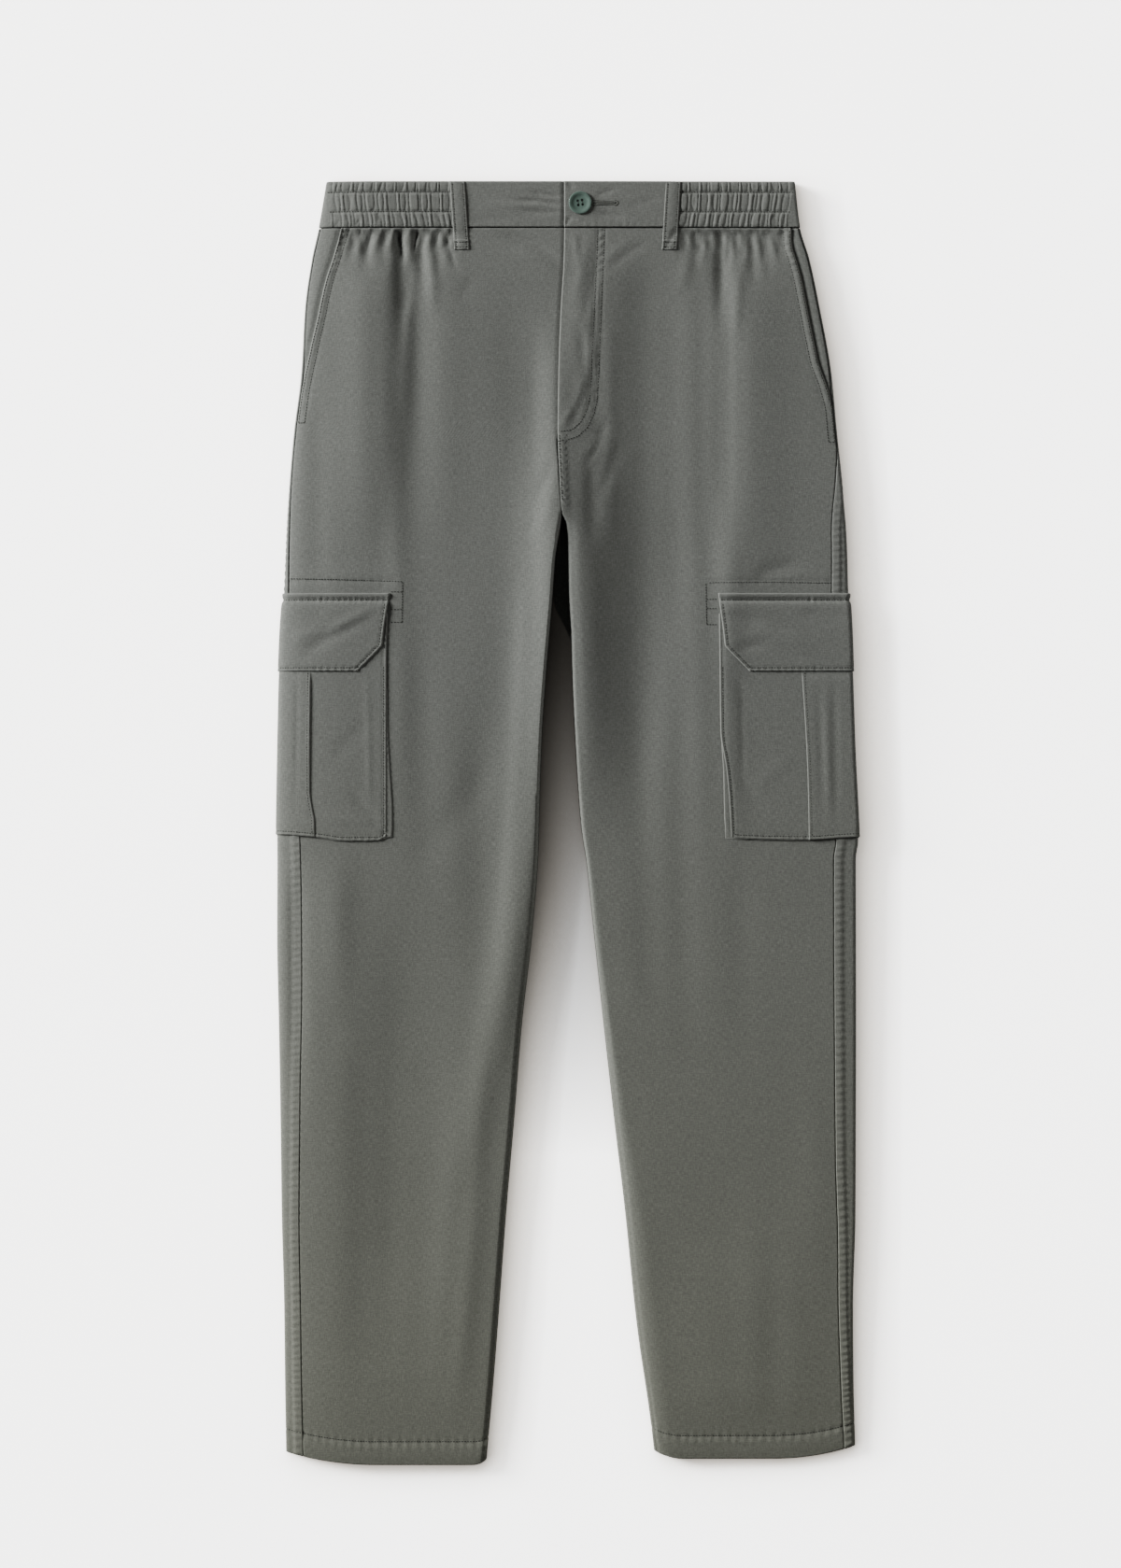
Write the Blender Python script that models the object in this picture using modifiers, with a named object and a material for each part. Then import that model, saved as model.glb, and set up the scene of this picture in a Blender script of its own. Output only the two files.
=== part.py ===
# Cargo trousers laid flat on their back, waist towards +Y, front towards +Z.
#
# Each sewn piece is a wall of cloth. The walls are lofted through cross sections: at every station down the
# garment a section gives the rounded outer edge, the domed front with its folds, and the flat back. A piece
# is a range of places on those sections, so that neighbours meet edge to edge and what lies on a panel is
# made from the panel's own places, moved out. Right and left are the wearer's: the right leg is at -X.
#
# Sizes are in millimetres and become metres where a mesh is made. "down" is the distance from the waist
# edge towards the hems, and "inset" is a distance in from a leg's outer edge.
import math
from collections import namedtuple

import bmesh
import bpy
from mathutils import Matrix, Vector

MM = 0.001

# ------------------------------------------------------------------ driving sizes
LENGTH = 1051.5          # waist edge to the lowest point of the hems
CLOTH = 1.2              # wall of one layer of cloth
HEM_CLOTH = 2.2          # wall where the hem is turned up inside
HEM_DEPTH = 19.5         # depth of the turned-up hem
SEAM = 0.3               # gap between two pieces at a seam
EDGE_ROLL = 3.6          # radius of the folded outer and inner edges
DOME = 95.0              # width over which the front rises from an edge to its full height

BAND_DEPTH = 38.0        # depth of the waistband
BAND_CLOTH = 2.0         # wall of the waistband
BAND_PROUD = 0.5         # how far the waistband stands out from the panels
PANEL_TOP = 38.6         # where the panels start, below the waistband's seam
WAVES = 22               # gathers across one elasticated side
WAVE_HEIGHT = 1.3        # height of those gathers

FLY_UNDERLAP = 12.0      # how far the right front runs under the left one
BAND_UNDERLAP = 35.0     # how far the right waistband runs under the left one
FLY_END = 204.0          # where the fly's overlap ends
CROTCH = 273.6           # where the fronts part
SLANT_PROUD = 0.5        # the slanted pocket edge stands this much out from the front
LAP_PROUD = 0.5          # the left front over the fly's underlap
LAP_DIP = 1.4            # how far the right front sinks to run under the left one
BAND_LAP_PROUD = 1.0     # the same two for the waistband
BAND_LAP_DIP = 1.3

SLANT_END = 216.0        # where the slanted pocket edge has run into the side seam

LOOP_WIDTH = 12.0
LOOP_LENGTH = 56.5
LOOP_CLOTH = 1.5
BACK_LOOP_CLOTH = 1.0
RIGHT_LOOP = -90.2       # where the belt loops and the joints of the waistband are
LEFT_LOOP = 84.5

BUTTON_RADIUS = 9.3
BUTTON_HEIGHT = 3.2
BUTTON_PLACE = (9.2, 16.9)   # across and down
BUTTON_HOLE = 0.9            # radius of a thread hole
BUTTON_HOLE_SPREAD = 1.75    # from the button's centre lines to a hole's centre
BUTTON_TWIST = 8.0           # degrees the holes are turned

GUSSET = (0.5, 1.7)      # the folded gusset lies this far out from the leg
BAG = (2.1, 3.3)         # the pocket bag's inner and outer faces
PLEAT_PROUD = 1.0        # the box pleat stands this much further out
FLAP = (3.7, 5.0)        # the flap's inner and outer faces over the bag
FLAP_WELT = (0.5, 2.9)   # the flap's stitched top fold, which lies on the leg
FLAP_TOP = 337.5
FLAP_BOTTOM = 401.5
BAG_TOP = 354.0
BAG_BOTTOM = 538.0
GUSSET_TOP = 358.0
GUSSET_WIDTH = 14.0      # the gusset's folded width, most of it hidden behind the bag
GUSSET_SHOWS = 4.5       # how much of it shows beside the bag
GUSSET_DROP = 0.8        # and below it
LIFT_START = 322.0       # where the back begins to rise over the pocket under it
CLEAR = 0.05             # the pocket's underside over the surface it rests on

# ------------------------------------------------------------------ tables
Edge = namedtuple("Edge", "down outer inner")
Inset = namedtuple("Inset", "down inset")
Height = namedtuple("Height", "down height")
Across = namedtuple("Across", "down across")
Fold = namedtuple("Fold", "start end first middle last height width fade_in fade_out")
Gather = namedtuple("Gather", "across drift length depth width")
Place = namedtuple("Place", "kind at")
Hem = namedtuple("Hem", "level outer outer_share inner inner_share")
Pocket = namedtuple("Pocket", "front_top front_bottom pleat_top pleat_bottom under")

# outer: the folded outer edge. inner: the centre front, and below the crotch the leg's inner edge.
RIGHT_EDGES = (
    Edge(0.0, -198.6, -3.9),
    Edge(38.0, -205.0, -3.9),
    Edge(64.0, -210.7, -4.3),
    Edge(103.0, -216.2, -6.6),
    Edge(156.0, -219.2, -8.6),
    Edge(204.0, -225.2, -9.2),
    Edge(240.0, -228.3, -8.0),
    Edge(273.6, -230.3, -5.7),
    Edge(280.0, -230.6, -6.2),
    Edge(309.0, -231.0, -10.8),
    Edge(340.0, -229.8, -13.1),
    Edge(371.0, -232.0, -15.7),
    Edge(402.0, -233.4, -18.4),
    Edge(463.0, -234.5, -22.3),
    Edge(524.0, -235.8, -24.2),
    Edge(540.0, -236.8, -24.6),
    Edge(555.0, -239.0, -25.2),
    Edge(616.0, -239.2, -30.0),
    Edge(693.0, -237.7, -38.7),
    Edge(770.0, -236.4, -44.9),
    Edge(846.0, -235.4, -51.4),
    Edge(923.0, -233.4, -57.1),
    Edge(999.0, -232.6, -62.9),
    Edge(1051.5, -231.8, -67.5),
)
LEFT_EDGES = (
    Edge(0.0, 185.0, -3.9),
    Edge(38.0, 189.4, -3.9),
    Edge(64.0, 197.1, -4.3),
    Edge(103.0, 205.3, -6.6),
    Edge(156.0, 214.8, -8.6),
    Edge(204.0, 219.4, -9.2),
    Edge(240.0, 223.2, -8.0),
    Edge(273.6, 226.3, -5.7),
    Edge(280.0, 226.5, -2.9),
    Edge(309.0, 227.5, -1.2),
    Edge(340.0, 226.2, -0.4),
    Edge(371.0, 227.6, 1.5),
    Edge(402.0, 228.5, 2.4),
    Edge(463.0, 231.5, 5.3),
    Edge(524.0, 236.0, 9.4),
    Edge(540.0, 236.8, 11.4),
    Edge(555.0, 234.8, 13.8),
    Edge(616.0, 234.9, 20.3),
    Edge(693.0, 234.9, 29.1),
    Edge(770.0, 234.9, 37.9),
    Edge(846.0, 234.8, 47.9),
    Edge(923.0, 232.6, 55.9),
    Edge(999.0, 233.0, 65.9),
    Edge(1051.5, 234.2, 72.0),
)
# How far in from the outer edge the side seam lies.
RIGHT_SEAM = (
    Inset(0.0, 1.5), Inset(240.0, 1.6), Inset(300.0, 2.4), Inset(400.0, 8.0), Inset(470.0, 14.0),
    Inset(540.0, 19.0), Inset(620.0, 20.5), Inset(762.0, 16.3), Inset(923.0, 13.6), Inset(1051.5, 14.0),
)
LEFT_SEAM = (
    Inset(0.0, 1.5), Inset(216.0, 1.6), Inset(241.0, 5.0), Inset(290.0, 12.5), Inset(432.0, 15.5),
    Inset(543.0, 18.4), Inset(631.0, 18.3), Inset(798.0, 16.7), Inset(907.0, 12.6), Inset(1051.5, 9.0),
)
# How far in the slanted edge of the hip pocket lies, down to where it meets the side seam.
RIGHT_SLANT = (
    Inset(0.0, 18.8), Inset(38.0, 18.8), Inset(60.0, 17.8), Inset(80.0, 14.7), Inset(109.0, 11.5),
    Inset(137.0, 6.4), Inset(168.0, 2.2), Inset(186.0, 1.6), Inset(215.0, 1.5),
)
LEFT_SLANT = (
    Inset(0.0, 8.0), Inset(38.0, 8.0), Inset(57.0, 11.7), Inset(80.0, 10.8), Inset(116.0, 10.8),
    Inset(145.0, 10.3), Inset(172.0, 4.4), Inset(189.0, 1.8), Inset(215.0, 1.6),
)
# The centre back seam, and below the back's crotch the edge of the cloth between the legs.
RIGHT_SEAT = (
    Across(0.0, -4.2), Across(240.0, -6.2), Across(300.0, -8.2), Across(339.0, -12.9), Across(346.0, -12.9),
)
LEFT_SEAT = (
    Across(0.0, -3.9), Across(240.0, -5.9), Across(300.0, -7.9), Across(339.0, -12.5), Across(373.0, 0.6),
)
# How much shorter the hem is all along, at its outer corner and at its inner one, with the shares of the
# leg's width over which the corners curve.
RIGHT_HEM = Hem(0.0, 10.5, 0.45, 4.0, 0.07)
LEFT_HEM = Hem(5.0, 10.5, 0.4, 6.5, 0.15)
# Insets of a cargo pocket's parts at its top and bottom: the bag's front edge, the pleat's front edge, and
# how far the bag runs in underneath.
RIGHT_POCKET = Pocket(84.7, 87.3, 22.5, 28.6, 88.0)
LEFT_POCKET = Pocket(105.0, 103.6, 38.3, 39.9, 70.0)
# Height of the front over the ground, away from edges and folds.
CROWN = (
    Height(0.0, 11.5), Height(38.0, 13.2), Height(80.0, 14.8), Height(150.0, 15.8), Height(250.0, 16.2),
    Height(400.0, 17.5), Height(530.0, 17.0), Height(620.0, 15.8), Height(750.0, 14.5), Height(900.0, 13.0),
    Height(1000.0, 12.6), Height(1051.5, 12.0),
)
# Long soft folds of the fronts: their run down, where they lie across at three points, and their form.
FOLDS = (
    Fold(45, 345, -166, -165, -163, 2.2, 20, 60, 140),
    Fold(40, 345, -126, -124, -125, -4.0, 13, 24, 230),
    Fold(45, 345, -99, -100, -102, 1.5, 15, 60, 140),
    Fold(60, 560, -49, -42, -82, -2.5, 20, 90, 160),
    Fold(95, 860, -10, -26, -96, 4.5, 15, 90, 250),
    Fold(560, 960, -136, -135, -134, -2.2, 26, 120, 140),
    Fold(560, 960, -92, -91, -91, 1.2, 20, 120, 140),
    Fold(540, 1010, -204, -203, -203, 1.0, 18, 80, 80),
    Fold(60, 560, 12, 14, 19, 4.3, 14, 60, 200),
    Fold(45, 600, 65, 62, 48, -3.0, 22, 60, 200),
    Fold(50, 430, 146, 147, 138, 3.5, 28, 60, 160),
    Fold(480, 780, 133, 131, 128, 1.6, 38, 120, 140),
    Fold(560, 880, 72, 86, 100, -1.8, 24, 120, 140),
    Fold(850, 1045, 118, 123, 128, 1.0, 30, 90, 60),
)
# Short gathers under the elastic: where each starts across, how it drifts, and its form.
GATHERS = (
    Gather(-176.0, -3.0, 34.0, 1.6, 3.6),
    Gather(-164.5, -2.0, 46.0, 1.9, 4.0),
    Gather(-151.5, 1.0, 40.0, 1.6, 4.0),
    Gather(-138.0, 2.0, 130.0, 2.6, 5.0),
    Gather(-121.5, 3.0, 62.0, 2.2, 4.6),
    Gather(-110.0, 5.0, 48.0, 1.8, 4.0),
    Gather(-100.0, 2.0, 26.0, 1.2, 3.4),
    Gather(95.0, -1.0, 30.0, 1.3, 3.4),
    Gather(104.0, 0.0, 44.0, 1.7, 4.0),
    Gather(114.5, 1.0, 38.0, 1.6, 4.0),
    Gather(124.0, 0.5, 95.0, 2.5, 4.8),
    Gather(137.0, 2.0, 50.0, 1.8, 4.2),
    Gather(149.0, 3.0, 58.0, 2.0, 4.2),
    Gather(161.0, 4.0, 46.0, 1.7, 4.0),
    Gather(173.0, 4.0, 36.0, 1.5, 3.6),
)

# Stations of the panels' sections, and how the fronts' and backs' columns are spread.
TOP_STATIONS = (PANEL_TOP, 44.0, 50.0, 58.0, 68.0, 82.0)
STATIONS = (
    98.0, 118.0, 142.0, 168.0, 190.0, 205.0, 217.0, 232.0, 246.0, 257.0, 266.0, 273.5, 281.0, 296.0, 314.0,
    328.0, 337.0, 347.0, 358.0, 378.0, 400.0, 412.0, 450.0, 490.0, 526.0, 539.0, 552.0, 590.0, 640.0, 700.0,
    760.0, 820.0, 880.0, 940.0, 990.0, 1031.0, 1033.0, 1051.5,
)
BACK_TOP_STATIONS = (PANEL_TOP, 60.0, 82.0)
OUTER_SHARES = (0.0, 0.03, 0.1, 0.2, 0.3, 0.41, 0.52, 0.64, 0.76, 0.88)
GATHER_COLUMNS = 27
BACK_RISE_SHARES = (1.0, 0.42, 0.125, 0.0156, 0.0)
BACK_FLAT_SHARES = (0.0, 0.18, 0.35, 0.43, 0.5, 0.57, 0.68, 0.84, 1.0)
QUARTER = (30.0, 60.0, 90.0)

BAND_ROWS = (0.0, 19.0, BAND_DEPTH)
WaveRow = namedtuple("WaveRow", "down height lean pinch")
WAVE_ROWS = (
    WaveRow(0.0, 0.45, 0.0, 0.0),
    WaveRow(4.6, 0.8, 0.1, 0.0),
    WaveRow(9.2, 0.25, 0.3, -0.3),
    WaveRow(17.2, 1.0, 0.5, 0.2),
    WaveRow(25.3, 0.25, 0.8, -0.3),
    WaveRow(31.5, 0.9, 1.1, 0.0),
    WaveRow(38.0, 0.35, 1.3, -0.1),
)


class Curve:
    """A smooth curve through a table's points that doesn't overshoot them."""

    def __init__(self, points):
        self.at = [point[0] for point in points]
        self.value = [point[1] for point in points]
        steps = range(len(points) - 1)
        secants = [(self.value[k + 1] - self.value[k]) / (self.at[k + 1] - self.at[k]) for k in steps]
        self.slope = [secants[0]]
        for before, after in zip(secants, secants[1:]):
            level = before * after <= 0.0
            self.slope.append(0.0 if level else 2.0 * before * after / (before + after))
        self.slope.append(secants[-1])

    def __call__(self, at):
        if at <= self.at[0]:
            return self.value[0]
        if at >= self.at[-1]:
            return self.value[-1]
        k = max(index for index, start in enumerate(self.at) if start <= at)
        span = self.at[k + 1] - self.at[k]
        t = (at - self.at[k]) / span
        start = (1 + 2 * t) * (1 - t) ** 2 * self.value[k] + t * (1 - t) ** 2 * span * self.slope[k]
        finish = t * t * (3 - 2 * t) * self.value[k + 1] - t * t * (1 - t) * span * self.slope[k + 1]
        return start + finish


def smooth(value):
    value = min(1.0, max(0.0, value))
    return value * value * (3.0 - 2.0 * value)


def ramp(low, high, value):
    """0 below low, 1 above high, smooth between them."""
    return smooth((value - low) / (high - low))


def mix(first, second, share):
    return first + (second - first) * share


def dome(share):
    """A profile that leaves an edge upright and levels off at share 1."""
    share = min(1.0, max(0.0, share))
    return (1.0 - (1.0 - share) ** 2) ** (1.0 / 3.0)


class Leg:
    """One side of the trousers, with its edges as functions of the distance down."""

    def __init__(self, name, sign, edges, seam, slant, seat, loop, pocket, hem):
        self.name = name
        self.sign = sign
        self.outer = Curve([(row.down, row.outer) for row in edges])
        self.inner = Curve([(row.down, row.inner) for row in edges])
        self.seam = Curve([(row.down, row.inset) for row in seam])
        self.slant = Curve([(row.down, row.inset) for row in slant])
        self.seat = Curve([(row.down, row.across) for row in seat])
        self.seat_end = seat[-1].down
        self.loop = loop
        self.pocket = pocket
        self.hem = hem

    def width(self, down):
        return self.sign * (self.outer(down) - self.inner(down))

    def across(self, down, inset):
        return self.outer(down) - self.sign * inset

    def inset(self, down, across):
        return self.sign * (self.outer(down) - across)

    def front_edge(self, down):
        """Inset of the front's outer edge: the slanted pocket edge, then the side seam."""
        if down < SLANT_END:
            return max(self.slant(down), self.seam(down) + SEAM)
        return self.seam(down) + SEAM / 2

    def bag_edge(self, down):
        """Inset of the cargo pocket's front edge."""
        share = (down - BAG_TOP) / (BAG_BOTTOM - BAG_TOP)
        return mix(self.pocket.front_top, self.pocket.front_bottom, share)

    def pleat_edge(self, down):
        """Inset of the box pleat's front edge, which comes out below the flap."""
        share = (down - FLAP_BOTTOM) / (BAG_BOTTOM - FLAP_BOTTOM)
        return mix(self.pocket.pleat_top, self.pocket.pleat_bottom, share)


RIGHT = Leg(
    "right", -1, RIGHT_EDGES, RIGHT_SEAM, RIGHT_SLANT, RIGHT_SEAT, RIGHT_LOOP, RIGHT_POCKET, RIGHT_HEM,
)
LEFT = Leg(
    "left", 1, LEFT_EDGES, LEFT_SEAM, LEFT_SLANT, LEFT_SEAT, LEFT_LOOP, LEFT_POCKET, LEFT_HEM,
)

crown = Curve([(row.down, row.height) for row in CROWN])


# ------------------------------------------------------------------ the form of a section
def fold_height(across, down):
    """Rise of the front's surface from its long folds and its gathers."""
    height = 0.0
    for fold in FOLDS:
        if fold.start < down < fold.end:
            share = (down - fold.start) / (fold.end - fold.start)
            ahead = (1 - share) * (1 - 2 * share) * fold.first + share * (2 * share - 1) * fold.last
            centre = ahead + 4 * share * (1 - share) * fold.middle
            strength = ramp(fold.start, fold.start + fold.fade_in, down)
            strength *= 1.0 - ramp(fold.end - fold.fade_out, fold.end, down)
            height += fold.height * strength * math.exp(-((across - centre) / fold.width) ** 2)
    for gather in GATHERS:
        share = (down - BAND_DEPTH) / gather.length
        if 0.0 < share < 1.0:
            centre = gather.across + gather.drift * share
            strength = ramp(0.0, 7.0, down - BAND_DEPTH) * (1.0 - smooth(share))
            height -= gather.depth * strength * math.exp(-((across - centre) / gather.width) ** 2)
    return height


def pocket_lift(leg, down, inset):
    """How far the back is held up by the pocket and the flap under it."""
    along = ramp(LIFT_START, FLAP_TOP - 1.0, down) * FLAP[1]
    along += ramp(LIFT_START, LIFT_START + 8.0, down) * CLEAR
    along -= ramp(FLAP_BOTTOM, FLAP_BOTTOM + 10.5, down) * (FLAP[1] - BAG[1])
    along -= ramp(BAG_BOTTOM + 1.5, BAG_BOTTOM + 20.0, down) * BAG[1]
    reach = leg.pocket.under + 10.0
    return along * (1.0 - ramp(reach, reach + 24.0, inset))


def loop_lift(across, down):
    """How far the back is held up by the belt loops under it."""
    near = min(abs(across - RIGHT_LOOP), abs(across - LEFT_LOOP))
    rise = BACK_LOOP_CLOTH + 0.4
    return rise * (1.0 - ramp(24.0, 48.0, near)) * (1.0 - ramp(LOOP_LENGTH + 2.0, LOOP_LENGTH + 24.0, down))


def lift(leg, down, inset):
    return pocket_lift(leg, down, inset) + loop_lift(leg.across(down, inset), down)


def edge_height(leg, down):
    return EDGE_ROLL + lift(leg, down, 0.0)


def turn_up(leg, down):
    """1 where the back turns up round the leg's inner edge, 0 where it lies flat between the legs."""
    if leg.sign < 0:
        return ramp(334.0, 358.0, down)
    return ramp(370.0, 400.0, down)


def top_height(leg, down, inset):
    """Height of the front's outer face."""
    low = edge_height(leg, down)
    height = mix(low, crown(down), dome(inset / DOME))
    from_inner = leg.width(down) - inset
    drop = ramp(228.0, 284.0, down)
    mask = smooth(inset / 14.0) * (1.0 - drop * (1.0 - smooth(from_inner / 10.0)))
    height += fold_height(leg.across(down, inset), down) * mask
    if drop > 0.0:
        inner_dome = mix(28.0, 75.0, ramp(500.0, 900.0, down))
        bottom = mix(CLOTH + 0.5, EDGE_ROLL + SEAM / 2, turn_up(leg, down))
        height = mix(height, mix(bottom, height, dome(from_inner / inner_dome)), drop)
    return height


def over(leg, down, inset):
    """A point of the front's outer face and the direction out of it, as (x, z, out_x, out_z)."""
    from_inner = abs(leg.width(down) - inset)
    step = max(0.01, 0.05 * min(abs(inset), from_inner))
    before = max(0.0, inset - step)
    after = inset + step
    if down > 228.0:
        after = min(after, leg.width(down))
    run_x = -leg.sign * (after - before)
    run_z = top_height(leg, down, after) - top_height(leg, down, before)
    length = leg.sign * math.hypot(run_x, run_z)
    return (leg.across(down, inset), top_height(leg, down, inset), run_z / length, -run_x / length)


def roll(leg, down, degrees):
    """A point on the lower half of the folded outer edge, 0 at its side and 90 at its bottom."""
    angle = math.radians(degrees)
    out_x = leg.sign * math.cos(angle)
    out_z = -math.sin(angle)
    x = leg.across(down, EDGE_ROLL) + EDGE_ROLL * out_x
    return (x, edge_height(leg, down) + EDGE_ROLL * out_z, out_x, out_z)


def under(leg, down, inset):
    """A point of the back's outer face, on the underside."""
    return (leg.across(down, inset), lift(leg, down, inset), 0.0, -1.0)


TURN_END = math.degrees(math.acos(SEAM / 2 / EDGE_ROLL))


def turn(leg, down, degrees):
    """A point where the back turns up at the leg's inner edge, or lies flat above the back's crotch."""
    angle = math.radians(degrees)
    seat = leg.seat(down) if down < leg.seat_end else leg.inner(down)
    rolled_x = leg.inner(down) + leg.sign * EDGE_ROLL * (1.0 - math.sin(angle))
    rolled_z = EDGE_ROLL * (1.0 - math.cos(angle))
    start = leg.inner(down) + leg.sign * EDGE_ROLL
    flat_x = mix(start, seat, degrees / TURN_END)
    share = turn_up(leg, down)
    out = Vector((-leg.sign * math.sin(angle) * share, -mix(1.0, math.cos(angle), share))).normalized()
    base = lift(leg, down, leg.width(down))
    return (mix(flat_x, rolled_x, share), base + rolled_z * share, out.x, out.y)


SURFACES = {"over": over, "roll": roll, "under": under, "turn": turn}


def hem_rise(leg, down, share):
    """How much shorter the leg is at this share of its width, near the hem."""
    hem = leg.hem
    outer = hem.outer * max(0.0, 1.0 - share / hem.outer_share) ** 2
    inner = hem.inner * max(0.0, 1.0 - (1.0 - share) / hem.inner_share) ** 2
    return (hem.level + outer + inner) * ramp(940.0, 1040.0, down)


def point(leg, down, place, out=0.0):
    """A point of the garment, moved out of its surface, in metres."""
    x, z, out_x, out_z = SURFACES[place.kind](leg, down, place.at)
    share = min(1.0, max(0.0, leg.inset(down, x) / leg.width(down)))
    y = LENGTH / 2 - down + hem_rise(leg, down, share)
    return Vector(((x + out_x * out) * MM, y * MM, (z + out_z * out) * MM))


# ------------------------------------------------------------------ making solids
def new_collection(name, hidden=False):
    collection = bpy.data.collections.new(name)
    bpy.context.scene.collection.children.link(collection)
    collection.hide_render = hidden
    return collection


def finish(name, colour, roughness):
    material = bpy.data.materials.new(name)
    material.use_nodes = True
    shader = material.node_tree.nodes["Principled BSDF"]
    shader.inputs["Base Color"].default_value = (*colour, 1.0)
    shader.inputs["Roughness"].default_value = roughness
    shader.inputs["Metallic"].default_value = 0.0
    return material


TWILL = (0.150, 0.155, 0.142)
TWILL_ROUGHNESS = 0.92
BUTTON_COLOUR = (0.050, 0.075, 0.065)


def strip(first, second):
    """Faces between two rows of (share, vertex), which may differ in number."""
    faces = []
    if len(first) == len(second):
        for k in range(len(first) - 1):
            faces.append((first[k][1], first[k + 1][1], second[k + 1][1], second[k][1]))
        return faces
    i = 0
    j = 0
    while i < len(first) - 1 or j < len(second) - 1:
        along_first = j == len(second) - 1
        if i < len(first) - 1 and not along_first:
            along_first = first[i + 1][0] <= second[j + 1][0]
        if along_first:
            faces.append((first[i][1], first[i + 1][1], second[j][1]))
            i += 1
        else:
            faces.append((first[i][1], second[j + 1][1], second[j][1]))
            j += 1
    return faces


def loft_wall(name, outer_rows, inner_rows, material):
    """A closed wall between an outer and an inner face, each given as rows of (share, point)."""
    work = bmesh.new()

    def add(rows):
        return [[(share, work.verts.new(place)) for share, place in row] for row in rows]

    outer = add(outer_rows)
    inner = add(inner_rows)
    faces = []
    for rows in (outer, inner):
        for first, second in zip(rows, rows[1:]):
            faces += strip(first, second)
    faces += strip(outer[0], inner[0])
    faces += strip(outer[-1], inner[-1])
    for end in (0, -1):
        outer_side = [(k / (len(outer) - 1), row[end][1]) for k, row in enumerate(outer)]
        inner_side = [(k / (len(inner) - 1), row[end][1]) for k, row in enumerate(inner)]
        faces += strip(outer_side, inner_side)
    for face in faces:
        work.faces.new(face)
    bmesh.ops.recalc_face_normals(work, faces=work.faces)
    mesh = bpy.data.meshes.new(name)
    work.to_mesh(mesh)
    work.free()
    mesh.shade_smooth()
    mesh.set_sharp_from_angle(angle=math.radians(50))
    mesh.materials.append(material)
    piece = bpy.data.objects.new(name, mesh)
    trousers.objects.link(piece)
    return piece


def sheet_wall(name, leg, rows, material):
    """A wall from rows of (down, [(share, place, outer offset, inner offset), ...])."""
    outer = []
    inner = []
    for down, places in rows:
        outer.append([(share, point(leg, down, place, high)) for share, place, high, low in places])
        inner.append([(share, point(leg, down, place, low)) for share, place, high, low in places])
    return loft_wall(name, outer, inner, material)


def panel_cloth(down):
    return HEM_CLOTH if down > LENGTH - HEM_DEPTH + 0.5 else CLOTH


# ------------------------------------------------------------------ fronts
def front_end(leg, down):
    """Distance of the front's inner end from the centre front, below 0 where it runs under the other."""
    if leg.sign > 0:
        return 0.0
    if down < 217.0:
        return mix(-FLY_UNDERLAP, SEAM, ramp(FLY_END - 8.0, FLY_END + 10.0, down))
    return SEAM if down < CROTCH else 0.0


def front_out(leg, down, inset):
    """Offset of a front from the plain section, at the fly's overlap and the slanted pocket edge."""
    from_edge = inset - leg.front_edge(down)
    offset = SLANT_PROUD * (1.0 - smooth(from_edge / 10.0)) * (1.0 - ramp(150.0, 186.0, down))
    from_centre = leg.width(down) - inset
    if leg.sign > 0:
        lapped = 1.0 - ramp(FLY_UNDERLAP + 2.0, FLY_UNDERLAP + 20.0, from_centre)
        return offset + LAP_PROUD * lapped * (1.0 - ramp(FLY_END, FLY_END + 24.0, down))
    under_it = smooth((8.0 - from_centre) / 7.0)
    return offset - LAP_DIP * under_it * (1.0 - ramp(FLY_END + 10.0, FLY_END + 28.0, down))


def inner_columns(leg, down):
    """Distances of the last columns from the centre front or the leg's inner edge."""
    end = front_end(leg, down)
    if end < 0.0:
        return (45.0, 28.0, 16.0, 8.0, 0.8, 0.4 * end, end)
    return tuple(end + step for step in (45.0, 29.0, 18.0, 8.0, 2.0, 0.3, 0.0))


def front_columns(leg, down, fine):
    """Insets of a front's columns: close together at its edges, and under the elastic where fine."""
    start = leg.front_edge(down)
    inner = [leg.width(down) - step for step in inner_columns(leg, down)]
    if not fine:
        return [mix(start, inner[0], share) for share in OUTER_SHARES] + inner
    gathered = leg.inset(down, leg.loop) + 6.0
    steps = [mix(start, gathered, k / GATHER_COLUMNS) for k in range(GATHER_COLUMNS + 1)]
    return steps + [mix(gathered, inner[0], share) for share in (0.35, 0.7)] + inner


def front(leg):
    rows = []
    stations = [(down, True) for down in TOP_STATIONS] + [(down, False) for down in STATIONS]
    for down, fine in stations:
        columns = front_columns(leg, down, fine)
        run = columns[-1] - columns[0]
        row = []
        for inset in columns:
            out = front_out(leg, down, inset)
            share = (inset - columns[0]) / run
            row.append((share, Place("over", inset), out, out - panel_cloth(down)))
        rows.append((down, row))
    sheet_wall("front_" + leg.name, leg, rows, finish("front_" + leg.name, TWILL, TWILL_ROUGHNESS))


# ------------------------------------------------------------------ backs
def back_places(leg, down):
    start = leg.seam(down) - SEAM / 2
    places = [Place("over", start * share) for share in BACK_RISE_SHARES]
    places += [Place("roll", degrees) for degrees in QUARTER]
    first = EDGE_ROLL
    last = leg.width(down) - EDGE_ROLL
    places += [Place("under", mix(first, last, share)) for share in BACK_FLAT_SHARES[1:]]
    places += [Place("turn", TURN_END * degrees / QUARTER[-1]) for degrees in QUARTER]
    return places


def back(leg):
    rows = []
    for down in BACK_TOP_STATIONS + STATIONS:
        places = back_places(leg, down)
        count = len(places) - 1
        cloth = panel_cloth(down)
        rows.append((down, [(k / count, place, 0.0, -cloth) for k, place in enumerate(places)]))
    sheet_wall("back_" + leg.name, leg, rows, finish("back_" + leg.name, TWILL, TWILL_ROUGHNESS))


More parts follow.
